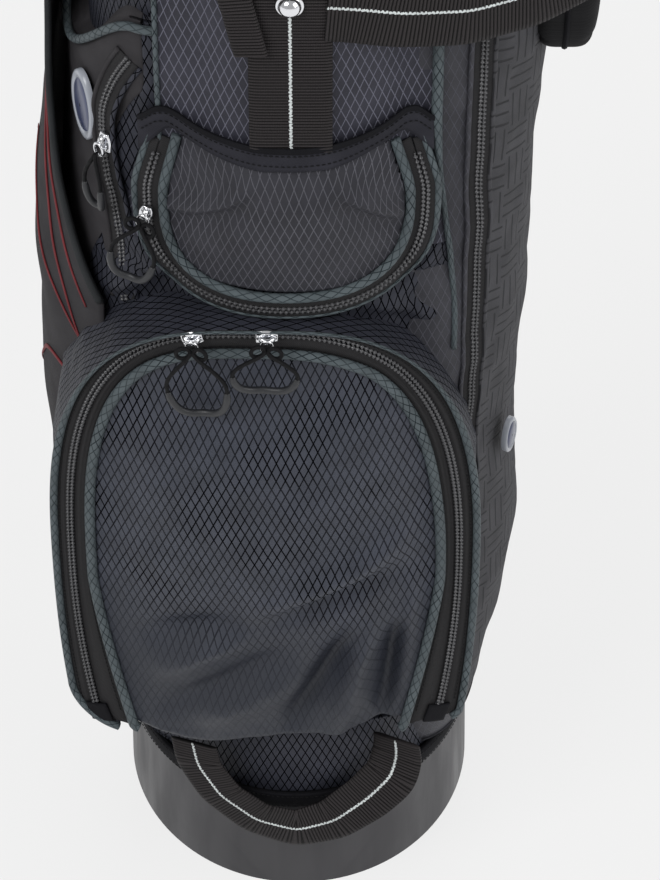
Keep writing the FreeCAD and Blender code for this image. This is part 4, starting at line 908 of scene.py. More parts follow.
def build_ball_pocket():
    """Front panel, gusset, pipings, zip and end patches of the ball pocket."""
    edge = ball_curve(1.0)
    step = 2.0
    x, z = np.meshgrid(np.arange(edge[:, 0].min(), edge[:, 0].max(), step),
                       np.arange(138, edge[:, 1].max(), step), indexing="xy")
    left_sag = 17.0 * np.exp(-((x - BALL_X + 44) / 38) ** 2)
    right_sag = 9 * np.exp(-((x - BALL_X - 22) / 40) ** 2)
    bottom = BALL_BOTTOM + 4 - left_sag - right_sag
    shape = np.vstack([edge[:1] - [0, 60], edge, edge[-1:] - [0, 60]])
    keep = inside_outline(x, z, shape) & (z > bottom)
    y = -ball_panel_front(x, z)
    y = y + 20 * (1 - smooth(z, bottom, bottom + 16)) ** 2
    along = BALL_DRUM * np.arcsin((x - BALL_X) / BALL_DRUM) - 0.10 * (y + ball_front(x, z))
    down = z + 0.10 * (y + ball_front(x, z))
    grid_piece("ball_panel", np.stack([x, y, z], -1), np.stack([along, down], -1), "ripstop_ball",
               keep=keep, slot="ripstop", replaces=["ball_pocket_panel"], thick=1.6)

    path, _ = band_path(0.0, 0.0, 3.0)
    flat = path[:, [0, 2]]
    outward = unit(flat - moved_in(flat, 1.0))
    depth = np.linspace(0, 1, 30)
    back = -18.0
    slack = 2.2 * ripples(path_lengths(path)[:, None], depth[None, :] * 110, SEED + 3, 70)
    belly = np.sin(math.pi * depth)
    swell = (4.0 * belly ** 0.8)[None, :] + slack * belly[None, :] - 1.6
    over = smooth(path[:, 2:3], 440, 515)
    swell = swell - over * 5.0 * belly[None, :]
    y = path[:, 1:2] + (back - path[:, 1:2]) * depth[None, :]
    x, z = path[:, 0:1] + outward[:, 0:1] * swell, path[:, 2:3] + outward[:, 1:2] * swell
    grid = np.stack([x, y, z], -1)
    uv = np.stack(np.meshgrid(depth * 120, path_lengths(path), indexing="xy"), -1)
    grid_piece("ball_gusset", grid, uv, "ripstop_dark", slot="ripstop", thick=1.5, flip=True)
    across, inward = np.meshgrid(np.linspace(path[0, 0] + 4, path[-1, 0] - 4, 70),
                                 np.linspace(0, 1, 18), indexing="xy")
    front_y = -ball_front(across, BALL_BOTTOM) + 14
    y = front_y + (back - front_y) * inward
    z = BALL_BOTTOM + 1.0 - 6 * np.sin(math.pi * inward) * np.exp(-((across - BALL_X) / 90) ** 4)
    grid_piece("ball_pocket_floor", np.stack([across, y, z], -1), np.stack([across, y], -1),
               "ripstop_dark", slot="ripstop", thick=1.5, replaces=["ball_pocket_shell"])

    for name, share, radius in (("outer", 0.02, 2.6), ("inner", 1.0, 3.3)):
        path, outward = band_path(share, radius * 0.5, 2.2)
        full = 1.0 if name == "inner" else 1.0 - 0.62 * smooth(path[:, 2], 400, 490)
        capped_sweep(f"ball_piping_{name}", path, outward, round_section(radius, 12), "piping",
                     slot="piping", scale=full + 0 * path[:, 2],
                     replaces=["ball_pocket_piping"] if name == "outer" else [])
    rows = [band_path(share, 0.7, 2.2, BALL_ZIP_END - 14)[0]
            for share in (0.08, 0.25, COIL_SHARE - 0.06)]
    other = [band_path(share, 0.7, 2.2, BALL_ZIP_END - 14)[0]
             for share in (COIL_SHARE + 0.06, 0.72, 0.96)]
    for name, lines in (("outer", rows), ("inner", other)):
        count = min(len(line) for line in lines)
        lines = [resampled(line, path_lengths(line)[-1] / (count - 1) * 0.9999)[:count]
                 for line in lines]
        count = min(len(line) for line in lines)
        grid = np.stack([line[:count] for line in lines], 1)
        widths = path_lengths(grid[count // 4])
        uv = np.stack(np.meshgrid(widths, path_lengths(grid[:, 0]), indexing="xy"), -1)
        grid_piece(f"ball_tape_{name}", grid, uv, "zip_tape", slot="zip", thick=1.0, flip=False,
                   replaces=["ball_pocket_zip"] if name == "outer" else [])
    path, outward = band_path(COIL_SHARE, 1.5, 2.0, BALL_ZIP_END)
    zip_coil("ball_coil", path, outward)
    for name, share in (("outer", 0.18), ("inner", 0.86)):
        path, outward = band_path(share, 1.2, 2.0, BALL_ZIP_END)
        stitches(f"ball_stitches_{name}", path, outward, slot="zip")
    coil_line = ball_curve(COIL_SHARE)
    for name, sign in (("left", -1), ("right", 1)):
        near = coil_line[(coil_line[:, 0] - BALL_X) * sign > 0]
        x = near[np.argmin(np.abs(near[:, 1] - BALL_ZIP_END)), 0]
        heights = np.linspace(BALL_ZIP_END + 1, BALL_ZIP_END - 13, 9)
        flat = np.stack([x - sign * np.linspace(0, 4, 9), heights], 1)
        path, outward = on_surface(flat, ball_front, 1.9)
        capped_sweep(f"ball_end_patch_{name}", path, outward, strip_section(15, 1.4, 7, 0.5), "binding",
                     slot="binding", replaces=["ball_zip_end_patches"] if name == "left" else [])


# ---------------------------------------------------------------- small pocket

SMALL_X = -3.0
SMALL_TOP = 644.0
SMALL_MIDDLE = 602.0
SMALL_POWER = 3.3
SMALL_LINES = {"outer": (84.5, 526.5), "coil": (77.5, 533.0), "inner": (68.5, 543.5)}


def small_front(x, z):
    """How far the small pocket's face reaches towards the front: flat at its sewn top, full below."""
    share = np.clip(np.abs(x - SMALL_X) / 90, 0, 1)
    lift = 11.0 * (1 - smooth(z, SMALL_TOP - 34, SMALL_TOP - 2)) * (1 - 0.45 * share ** 3)
    lift = lift * (0.75 + 0.25 * smooth(z, 520, 560))
    return bag_front(x, z) + 2.0 + lift


SMALL_PULLS = (((-72, 592), (-20, 628), 5, 6.5), ((-66, 580), (-18, 616), 6, -4.0),
               ((68, 588), (24, 628), 5, 6.0), ((62, 578), (22, 616), 6, -4.0))
SMALL_CROWN = 5.0


def small_panel_front(x, z):
    """The small pocket's panel: crowned, with pulls that spread from its upper corners."""
    share = np.clip(((x - SMALL_X) / 74) ** 2 + ((z - 600) / 56) ** 2, 0, 1)
    slack = SMALL_CROWN * (1 - share) + folded(x, z, SMALL_PULLS) + 0.5 * ripples(x, z, SEED + 4, 60)
    return small_front(x, z) + 0.8 + slack * (1 - share ** 4)


def small_outline(half, bottom, step=1.8):
    """The U outline from its upper left over the bottom to its upper right, as (x, z)."""
    turns = np.linspace(-math.pi / 2, math.pi / 2, 160)
    x = half * np.sign(np.sin(turns)) * np.abs(np.sin(turns)) ** (2 / SMALL_POWER)
    z = SMALL_MIDDLE - (SMALL_MIDDLE - bottom) * np.abs(np.cos(turns)) ** (2 / SMALL_POWER)
    rise = np.linspace(SMALL_TOP - 4, SMALL_MIDDLE, 20, endpoint=False)
    drawn_in = 10.0 * smooth(rise, SMALL_MIDDLE, SMALL_TOP + 6)
    left = np.stack([-half + drawn_in, rise], 1)
    right = np.stack([half - drawn_in, rise], 1)[::-1]
    line = np.vstack([left, np.stack([x, z], 1), right])
    line[:, 0] += SMALL_X
    line[:, 1] += 0.035 * line[:, 0] * (1 - smooth(line[:, 1], 560, 640))
    return resampled(line, step)


def small_zip_place(z):
    """Where the small pocket's zip passes a height on its left, and the direction out of it."""
    flat = resampled(small_outline(*SMALL_LINES["coil"]), 1.0)
    flat = flat[flat[:, 0] < SMALL_X - 40]
    path, outward = on_surface(flat, small_front, 3.0)
    nearest = np.argmin(np.abs(path[:, 2] - z))
    return path[nearest], unit(outward[nearest] * np.array([1, 1, 0.0]))


def build_small_pocket():
    """The round-bottomed valuables pocket with its pipings, zip and mesh binding."""
    inner = small_outline(67.5, 544.5)
    step = 1.8
    x, z = np.meshgrid(np.arange(SMALL_X - 80, SMALL_X + 80, step), np.arange(548, SMALL_TOP, step),
                       indexing="xy")
    keep = inside_outline(x, z, inner)
    y = -small_panel_front(x, z)
    along = running(np.hypot(step, np.diff(y, axis=1)))
    along -= along[:, y.shape[1] // 2:y.shape[1] // 2 + 1]
    grid_piece("small_panel", np.stack([x, y, z], -1), np.stack([along, z], -1), "ripstop_small",
               keep=keep, slot="ripstop", thick=1.4, replaces=["valuables_pocket"])

    outer = small_outline(85.5, 525.5)
    flat = resampled(outer, 3.0)
    path, outward = on_surface(flat, small_front, 0.0)
    depth = np.linspace(0, 1, 7)
    target = -(bag_front(flat[:, 0], flat[:, 1]) - 3.0)
    y = path[:, 1:2] + (target[:, None] - path[:, 1:2]) * depth[None, :]
    grid = np.stack([np.repeat(path[:, 0:1], 7, 1), y, np.repeat(path[:, 2:3], 7, 1)], -1)
    uv = np.stack(np.meshgrid(depth * 14, path_lengths(path), indexing="xy"), -1)
    grid_piece("small_gusset", grid, uv, "gusset", slot="ripstop", thick=1.2)

    for name, half, bottom, radius in (("inner", *SMALL_LINES["inner"], 3.0),
                                       ("outer", *SMALL_LINES["outer"], 2.0)):
        flat = resampled(small_outline(half, bottom), 2.0)
        path, outward = on_surface(flat, small_front, radius * 0.5)
        full = 1.0 if name == "inner" else 0.45 + 0.55 * smooth(path[:, 2], 545, 600)
        capped_sweep(f"small_piping_{name}", path, outward, round_section(radius, 12), "piping",
                     slot="piping", scale=full + 0 * path[:, 2],
                     replaces=["valuables_piping"] if name == "outer" else [])
    for name, half, bottom, wide in (("inner", 73.0, 538.2, 8.6), ("outer", 80.6, 530.0, 5.6)):
        flat = small_outline(half, bottom)
        zip_strip(f"small_tape_{name}", flat[flat[:, 1] < SMALL_TOP - 6], small_front, wide, 0.7,
                  "zip_tape", "zip", replaces=["valuables_zip"] if name == "outer" else [])
    coil = small_outline(*SMALL_LINES["coil"])
    path, outward = on_surface(coil[coil[:, 1] < SMALL_TOP - 16], small_front, 1.5)
    zip_coil("small_coil", path, outward)

    across = np.linspace(SMALL_X - 82, SMALL_X + 82, 120)
    for name, low, high, material, lift in (("band", 9.5, -3.0, "mesh_binding", 2.2),
                                            ("hem", -1.0, -4.4, "binding", 3.0)):
        share = np.linspace(0, 1, 7)[:, None]
        rise = band_rise(across)[None, :]
        deep = (low + 9.0 * smooth(np.abs(across - SMALL_X), 62, 74) * (name == "band"))[None, :]
        z = SMALL_TOP + rise - deep + (deep - high) * share
        x = across[None, :] + 0 * z
        y = -np.maximum(small_front(x, z), small_panel_front(x, z)) - lift
        grid_piece(f"small_binding_{name}", np.stack([x, y, z], -1), np.stack([x, z], -1), material,
                   slot="binding", thick=1.4, replaces=["valuables_binding"] if name == "band" else [])
    for index, drop in enumerate((0.5, 6.5)):
        x = across[2:-2]
        z = SMALL_TOP + band_rise(x) - drop
        line = np.stack([x, -np.maximum(small_front(x, z), small_panel_front(x, z)) - 2.4, z], 1)
        stitches(f"small_stitches_{index}", line, np.tile([[0, -1.0, 0]], (len(line), 1)))


def band_rise(x):
    """How much the small pocket's bound top edge rises towards its ends."""
    side = np.abs(x - SMALL_X)
    return 13.0 * np.minimum(side / 66, 1.0) ** 3 - 9.0 * smooth(side, 70, 84)


# ---------------------------------------------------------------- side pockets

def side_rings(rows, cap=8.0):
    """Heights, half widths and half depths of a side pocket, with a rounded cap above and below."""
    shrink = np.array([0.55, 0.8, 0.92, 0.975])
    rise = cap * np.sqrt(1 - shrink ** 2)
    low = np.stack([rows[0, 0] - rise + 2, rows[0, 1] * shrink, rows[0, 2] * shrink], 1)
    high = np.stack([rows[-1, 0] + rise - 2, rows[-1, 1] * shrink, rows[-1, 2] * shrink], 1)[::-1]
    return np.vstack([low, rows, high])


def side_grid(rows, middle, start, end, columns, push, shoulder):
    """A side pocket's skin between two angles, which may change with height; 0 faces the front.

    shoulder gives the height of the pocket's sloping top at each angle.
    """
    rings = side_rings(rows)
    z, half_x, half_y = rings[:, 0:1], rings[:, 1:2], rings[:, 2:3]
    share = np.linspace(0, 1, columns)[None, :]
    first, last = start(z), end(z)
    angle = first + (last - first) * share
    bulge = push(angle, z)
    low, high = rows[0, 0], rows[-1, 0]
    lowered = low + (z - low) * (shoulder(angle) - low) / (high - low)
    main = (z > low) & (z < high)
    half_x = np.where(main, np.interp(lowered, rows[:, 0], rows[:, 1]), half_x + 0 * lowered)
    half_y = np.where(main, np.interp(lowered, rows[:, 0], rows[:, 2]), half_y + 0 * lowered)
    normal = unit(np.stack([np.sin(angle) / half_x, -np.cos(angle) / half_y], -1))
    x = middle + half_x * np.sin(angle) + normal[..., 0] * bulge
    y = -half_y * np.cos(angle) + normal[..., 1] * bulge
    grid = np.stack([x, y, np.where(z > low, lowered, z)], -1)
    steps = np.linalg.norm(np.diff(grid[..., :2], axis=1), axis=-1)
    across = running(steps)
    return grid, np.stack([across, grid[..., 2]], -1)


def zip_angle(rows, zip_line, middle):
    """The angle at each height at which a side pocket's skin passes under its zip's line of (height, x)."""
    zip_line = soft_rows([(z, x, 0.0) for z, x in zip_line], 6.0, 5)

    def angle(z):
        half = np.interp(np.clip(z, rows[0, 0], rows[-1, 0]), rows[:, 0], rows[:, 1])
        across = np.interp(z, zip_line[:, 0], zip_line[:, 1])
        return np.arcsin(np.clip((across - middle) / half, -0.95, 0.95))
    return angle


def side_slack(seed, size, low, high):
    """Soft waves and a few long sags for a side pocket's skin."""
    def push(angle, z):
        waves = size * ripples(angle * 70, z * 0.7, seed, 150)
        fine = 0.3 * size * ripples(angle * 70, z, seed + 1, 45)
        return (waves + fine) * smooth(z, low, low + 50) * (1 - smooth(z, high - 40, high))
    return push


def build_side(name, rows, middle, zip_line, shoulder, front_material, back_material, node, seed,
               zip_low, zip_high, zip_node):
    """One side pocket: a skin in two cloths that meet at an upright zip."""
    sign = 1 if middle > 0 else -1
    at_zip = zip_angle(rows, zip_line, middle)
    push = side_slack(seed, 2.6, rows[0, 0], rows[-1, 0])
    inner_angle = -sign * math.radians(35)
    back_angle = sign * math.radians(215)
    for part, start, end, columns, material in (
            ("front", lambda z: inner_angle + 0 * z, at_zip, 40, front_material),
            ("back", at_zip, lambda z: back_angle + 0 * z, 110, back_material)):
        grid, uv = side_grid(rows, middle, start, end, columns, push, shoulder)
        grid_piece(f"{name}_{part}", grid, uv, material, flip=sign < 0, thick=1.6, slot="plain_fabric",
                   replaces=[node] if part == "back" else [])
    heights = np.arange(zip_low, zip_high, 2.5)
    angle = at_zip(heights)
    half_x = np.interp(heights, rows[:, 0], rows[:, 1])
    half_y = np.interp(heights, rows[:, 0], rows[:, 2])
    outward = unit(np.stack([np.sin(angle) / half_x, -np.cos(angle) / half_y, 0 * angle], 1))
    path = np.stack([middle + half_x * np.sin(angle), -half_y * np.cos(angle), heights], 1)
    path += outward * push(angle, heights)[:, None]
    capped_sweep(f"{name}_tape", path + outward * 0.8, outward, strip_section(15, 0.8, 7), "zip_tape",
                 slot="zip", replaces=[zip_node])
    zip_coil(f"{name}_coil", path + outward * 1.7, outward)
    _, across, _ = path_frames(path, outward)
    for side in (-1, 1):
        material = front_material if sign * side < 0 else back_material
        capped_sweep(f"{name}_welt_{'ab'[side > 0]}", path + across * side * 8.2 + outward * 1.0,
                     outward, round_section(1.5, 8), material, slot="plain_fabric")


def slash_point(y, z):
    """A point of the slash panel's outer face at a depth and a height."""
    half_x = np.interp(z, SLASH[:, 0], SLASH[:, 1])
    half_y = np.interp(z, SLASH[:, 0], SLASH[:, 2])
    share = np.sqrt(np.maximum(1 - (y / half_y) ** 2, 0.0025))
    outward = unit(np.stack([-share / half_x, (y / half_y) / half_y, 0 * share], -1))
    return np.stack([-(SIDE_OFFSET + half_x * share), y + 0 * z, z + 0 * y], -1), outward


def slash_mouth(y):
    """Height of the slanting mouth's edge at a depth."""
    return np.minimum(666 + 3.1 * (y + 30), 757.0)


def slash_sag(y, z):
    """How far the slash panel stands away from the pocket behind it, with its soft folds."""
    near_edge = smooth(z, slash_mouth(y) - 90, slash_mouth(y))
    waves = 2.4 * ripples(y, z * 0.6, SEED + 7, 110) * smooth(z, 150, 220)
    return 3.0 * near_edge + waves * (1 - 0.6 * near_edge)


APPAREL_ZIP = ((480, -97), (560, -97), (590, -100), (621, -104), (640, -103), (665, -99), (688, -89),
               (700, -80))


def apparel_shoulder(angle):
    """Height of the left pocket's top: it slopes down from the front seam round to the outside."""
    return 712.0 - 60.0 * smooth(-angle, math.radians(15), math.radians(80))


def side_shoulder(angle):
    """Height of the right pocket's top, which is level."""
    return RIGHT[-1, 0] + 0 * angle


def build_shoulder_piping():
    """The grey piping along the left pocket's sloping top edge."""
    angle = -np.radians(np.linspace(2, 130, 90))
    z = apparel_shoulder(angle) - 1.0
    half_x = np.interp(z, LEFT[:, 0], LEFT[:, 1]) + 1.0
    half_y = np.interp(z, LEFT[:, 0], LEFT[:, 2]) + 1.0
    path = np.stack([-SIDE_OFFSET + half_x * np.sin(angle), -half_y * np.cos(angle), z], 1)
    outward = unit(np.stack([np.sin(angle), -np.cos(angle), 0.6 + 0 * angle], 1))
    capped_sweep("apparel_shoulder_piping", path, outward, round_section(2.6, 10), "piping",
                 slot="piping")


def build_slash_panel():
    """The open-topped outer panel on the left with a bound, slanting mouth and plain red stitched lines."""
    depths = np.linspace(-85, 83, 90)
    share = np.linspace(0, 1, 130)[:, None]
    y = np.broadcast_to(depths[None, :], (130, 90))
    z = 142 + (slash_mouth(depths)[None, :] - 142) * share
    points, outward = slash_point(y, z)
    points = points + outward * slash_sag(y, z)[..., None]
    uv = np.stack([y, z], -1)
    grid_piece("slash_cloth", points, uv, "charcoal", thick=2.0, slot="plain_fabric",
               replaces=["slash_panel"], flip=True)

    def line_on_panel(ys, zs, lift):
        flat = resampled(np.stack([ys, zs], 1), 3.0)
        place, normal = slash_point(flat[:, 0], flat[:, 1])
        return place + normal * (slash_sag(flat[:, 0], flat[:, 1]) + lift)[:, None], normal

    edge_y = np.linspace(-84, 82, 80)
    path, normal = line_on_panel(edge_y, slash_mouth(edge_y) - 2.0, -0.6)
    capped_sweep("slash_edge", path, normal, strip_section(5, 3.0, 7, 0.6), "dark_tape", slot="piping")
    bends = np.linspace(0, 1, 30)
    near, far = -78 + 92 * bends, -72 + 76 * bends
    lines = {"sweep_upper": (near, slash_mouth(near) - 30 - 8 * bends),
             "sweep_lower": (far, slash_mouth(far) - 84 - 10 * bends + 12 * np.sin(math.pi * bends)),
             "chevron": (far, slash_mouth(far) - 84 - 120 * bends),
             "sweep_bottom": (-80 + 84 * bends, 402 - 40 * bends + 30 * np.sin(math.pi * bends))}
    for name, (ys, zs) in lines.items():
        path, normal = line_on_panel(ys, zs, 0.5)
        taper = 0.35 + 0.65 * np.sin(math.pi * np.linspace(0.06, 0.94, len(path))) ** 0.7
        capped_sweep(f"slash_{name}", path, normal, strip_section(2.8, 0.7, 5, 0.3), "red_line",
                     scale=taper, slot="badge")


def build_badges():
    """A blank oval badge on each side: a plain domed field inside a paler, stepped rim."""
    places = {"left": ((-114.5, -64, 630), (-0.903, -0.429, 0), 14.0),
              "right": ((129, -50, 352), (0.9, -0.43, 0), 8.0)}
    for name, (place, outward, radius) in places.items():
        outward = unit(outward)
        side = unit(np.cross(outward, (0, 0, 1)))
        profile = [(0.05, 2.6), (0.45, 2.5), (0.72, 2.0), (0.76, 1.4), (0.80, 2.0), (0.93, 2.2),
                   (1.0, 1.4), (1.0, -1.5)]
        turns = np.linspace(0, 2 * math.pi, 64, endpoint=False)
        ring = side[None, :] * np.cos(turns)[:, None] + np.array([[0, 0, 1.0]]) * np.sin(turns)[:, None]
        oval = np.array([1, 1, 1.7])
        grid = np.stack([np.array(place) + ring * radius * reach * oval + outward * (rise + 2.2)
                         for reach, rise in profile])
        uv = np.stack(np.meshgrid(turns * radius, [reach * radius for reach, _ in profile],
                                  indexing="xy"), -1)
        for part, rows, colour in (("field", slice(0, 4), "badge_field"),
                                   ("rim", slice(3, None), "badge")):
            first = name == "left" and part == "field"
            grid_piece(f"badge_{name}_{part}", grid[rows], uv[rows], colour, closed=True, slot="badge",
                       flip=True, replaces=["blank_badges"] if first else [])


# ---------------------------------------------------------------- webbing

RIB_HEIGHT = 0.95
THREAD_PITCH = 3.0


def webbing_band(name, path, up, wide, body="bag", replaces=(), stripe=True, thick=2.2):
    """Ribbed webbing: cross ribs, rolled edges and, where wanted, a twisted pale thread in its middle."""
    line = resampled(np.hstack([path, up]), 0.55)
    centre, normal = line[:, :3], unit(line[:, 3:])
    lengths = path_lengths(centre)
    columns = 15
    across = np.linspace(-1, 1, columns)
    _, side, upward = path_frames(centre, normal)
    rib = RIB_HEIGHT * np.abs(np.sin(lengths * math.pi / RIB_PITCH))[:, None] ** 1.5
    edge = 1 - np.abs(across)[None, :] ** 10
    height = thick / 2 * (0.45 + 0.55 * edge) + rib * (0.35 + 0.65 * edge)
    sheet = across[None, :, None] * side[:, None, :] * wide / 2 + centre[:, None, :]
    top = sheet + upward[:, None, :] * height[..., None]
    bottom = (sheet - upward[:, None, :] * height[..., None])[:, ::-1]
    grid = np.concatenate([top, bottom], 1)
    u = np.concatenate([across, across[::-1]])[None, :] * wide / 2 + 0 * lengths[:, None]
    uv = np.stack([u, lengths[:, None] + 0 * u], -1)
    pieces = [tube_piece(name, grid, uv, "webbing", flip=True, body=body, replaces=replaces,
                         slot="webbing")]
    if stripe:
        turns = lengths * 2 * math.pi / THREAD_PITCH
        thread = centre + upward * (thick / 2 + 0.45) + side * (np.sin(turns) * 0.28)[:, None]
        pieces.append(capped_sweep(f"{name}_thread", thread, upward, round_section(1.05, 8, 0.55),
                                   "white_thread", body=body, scale=0.85 + 0.15 * np.sin(turns * 2),
                                   slot="webbing"))
    return pieces


FRONT_WEBBING_WIDTH = 45.5
FRONT_WEBBING_TOP = 811.0
STUD_HEIGHT = 749.0
STRAP_WIDTH = 47.0
CROSSING_WIDTH = 19.0
REAR_STRAP_WIDTH = 26.0
HANDLE_WIDTH = 34.0
# The middles of the webbing runs, as (x, y, z).
STRAP_KNOTS = ((20, -123.5, 748), (34, -123.3, 747), (60, -121, 742), (96, -114, 738), (134, -99, 739),
               (160, -86, 745), (174, -72, 748), (172, -58, 749), (164, -46, 749))
CROSSING_KNOTS = ((-44, -117, 800), (-34, -121, 772), (-27, -124.5, 744), (-21, -125.5, 716))
REAR_STRAP_KNOTS = ((113, 92, 836), (124, 82, 836), (134, 72, 835), (142, 60, 832))
HANDLE_KNOTS = ((-66, -117, 137), (-63, -120, 119), (-49, -126, 96), (-26, -131, 77), (0, -133, 69),
                (24, -132, 77), (46, -128, 95), (61, -123, 111), (65, -118, 126), (64, -116, 138))


def build_front_webbing():
    """The upright webbing on the front panel and its domed stud."""
    heights = np.linspace(SMALL_TOP + 0.5, FRONT_WEBBING_TOP, 60)
    flat = np.stack([0 * heights, heights], 1)
    path, outward = on_surface(flat, front_panel, 2.0)
    webbing_band("front_webbing_band", path[:, :3], outward, FRONT_WEBBING_WIDTH,
                 replaces=["front_webbing"])
    build_stud(np.array([0.0, -front_panel(0.0, STUD_HEIGHT) - 4.4, STUD_HEIGHT]))


def turned(name, place, outward, profile, material, body="bag", sides=48, **options):
    """A turned part: profile rows are (radius, distance out)."""
    outward = unit(outward)
    guide = (0, 0, 1) if abs(outward[2]) < 0.9 else (1, 0, 0)
    side = unit(np.cross(outward, guide))
    upward = np.cross(side, outward)
    turns = np.linspace(0, 2 * math.pi, sides, endpoint=False)
    ring = side[None, :] * np.cos(turns)[:, None] + upward[None, :] * np.sin(turns)[:, None]
    grid = np.stack([np.asarray(place) + ring * radius + outward * rise for radius, rise in profile])
    uv = np.stack(np.meshgrid(turns * 10, [rise for _, rise in profile], indexing="xy"), -1)
    return tube_piece(name, grid, uv, material, body=body, **options)


def build_stud(place):
    """A domed chrome stud on a flat washer."""
    dome = [(math.cos(turn) * 6.2, 1.4 + 5.0 * math.sin(turn))
            for turn in np.linspace(0, math.pi / 2 * 0.97, 12)]
    turned("stud_dome", place, (0, -1, 0), [(7.8, -1.0), (7.8, 0.5), (7.4, 1.1), (6.8, 1.2)] + dome,
           "chrome", slot="stud_chrome", replaces=["webbing_stud"])


def build_strap():
    """The shoulder strap's front run, which bends on to the swinging strap, and a crossing end."""
    path = resampled(STRAP_KNOTS, 1.0)
    path = eased(path, 60)
    normals = np.stack([path[:, 0] * 0.35 - 8, np.full(len(path), -60.0), 0 * path[:, 0]], 1)
    turn = smooth(np.arange(len(path)) / len(path), 0.72, 1.0)
    normals = unit(unit(normals) * (1 - turn)[:, None] + np.array([[1.0, -0.05, 0]]) * turn[:, None])
    pieces = webbing_band("strap_front_band", path, normals, STRAP_WIDTH,
                          replaces=["strap_webbing_front", "strap_webbing_side"])
    for piece in pieces:
        world = piece.matrix_world.copy()
        piece.parent = None
        piece.matrix_world = world
        if "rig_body" in piece:
            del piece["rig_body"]
        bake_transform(piece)
    path = resampled(CROSSING_KNOTS, 1.0)
    webbing_band("strap_crossing_end", path, np.tile([[-0.25, -1.0, 0.05]], (len(path), 1)),
                 CROSSING_WIDTH, stripe=False)


def build_rear_strap():
    """The strap's rear run, from the collar to the pad."""
    path = resampled(REAR_STRAP_KNOTS, 1.0)
    normals = np.tile(unit(np.array([[0.75, 0.66, 0.05]])), (len(path), 1))
    webbing_band("strap_rear_band", path, normals, REAR_STRAP_WIDTH, body="shoulder_strap",
                 stripe=False, replaces=["strap_webbing_rear"])
    for index, z in enumerate((829, 836, 843)):
        stitches(f"strap_rear_stitches_{index}", np.array([(126, 84.5, z), (137, 72.5, z)], float),
                 np.tile([[0.75, 0.66, 0]], (2, 1)), body="shoulder_strap")


def stitches(name, path, normals, pitch=3.2, length=2.1, body="bag", radius=0.32, slot="binding"):
    """A row of sewn stitches: short rounded threads in one piece."""
    line = resampled(np.hstack([path, normals]), pitch)
    centre, up = line[:, :3], unit(line[:, 3:])
    along, side, _ = path_frames(centre, up)
    points, faces = [], []
    ring = round_section(radius, 6)
    for place, run, across, normal in zip(centre, along, side, up):
        first = len(points)
        for share, size in ((-0.5, 0.35), (-0.3, 1.0), (0.3, 1.0), (0.5, 0.35)):
            for a, b in ring:
                lift = b * size + 0.2
                points.append(place + run * share * length + across * a * size + normal * lift)
        for level in range(3):
            for corner in range(6):
                after = (corner + 1) % 6
                faces.append([first + level * 6 + corner, first + level * 6 + after,
                              first + level * 6 + 6 + after, first + level * 6 + 6 + corner])
        faces.append([first + corner for corner in range(6)][::-1])
        faces.append([first + 18 + corner for corner in range(6)])
    return mesh_piece(name, points, faces, "cord", body=body, uv=np.zeros((len(points), 2)), slot=slot)


PAD_ROUNDNESS = 0.42
PAD_GROOVE = 0.10


def bent(value, power):
    """A signed power."""
    return np.sign(value) * np.abs(value) ** power


def rounded_slab(name, low, high, material, body, replaces, thin):
    """A stuffed pad: a superellipsoid between two corners, with quilted grooves across it."""
    centre, half = (low + high) / 2, (high - low) / 2
    rows, columns = 90, 128
    up = np.linspace(-math.pi / 2 * 0.999, math.pi / 2 * 0.999, rows)[:, None]
    around = np.linspace(0, 2 * math.pi, columns, endpoint=False)[None, :]
    level = bent(np.cos(up), PAD_ROUNDNESS)
    local = np.stack([level * bent(np.cos(around), PAD_ROUNDNESS),
                      level * bent(np.sin(around), PAD_ROUNDNESS),
                      bent(np.sin(up), PAD_ROUNDNESS) + 0 * around], -1)
    groove = 1 - PAD_GROOVE * np.exp(-((np.abs((local[..., 2] * half[2]) % 36 - 18)) / 2.4) ** 2)
    local[..., thin] *= groove
    points = centre + local * half
    uv = np.stack([points[..., 1 - thin], points[..., 2]], -1)
    piece = tube_piece(name, points, uv, material, body=body, replaces=replaces, slot="pad_foam")


def build_pads():
    """The mesh-covered hip pad on the back and the shoulder pad on its strap, each with piped edges."""
    for name, node, body, axis in (("hip_cushion", "hip_pad", "bag", 1),
                                   ("shoulder_cushion", "shoulder_pad", "shoulder_strap", 0)):
        low, high = node_box(node)
        if body == "shoulder_strap":
            low, high = low + (2.0, 0, 0), high - (0, 0, 6.0)
        rounded_slab(name, low, high, "pad_mesh", body, [node], axis)
        centre, half = (low + high) / 2, (high - low) / 2
        turns = np.linspace(0, 2 * math.pi, 160)
        other = 1 - axis
        line = np.zeros((160, 3))
        line[:, axis] = centre[axis]
        line[:, other] = centre[other] + (half[other] - 0.4) * bent(np.cos(turns), PAD_ROUNDNESS)
        line[:, 2] = centre[2] + (half[2] - 0.4) * bent(np.sin(turns), PAD_ROUNDNESS)
        line = resampled(line, 2.0)
        up = np.zeros_like(line)
        up[:, axis] = 1.0
        capped_sweep(f"{name}_edge", line[:-1], up[:-1], round_section(1.9, 8), "binding", body=body,
                     closed=True, slot="binding")


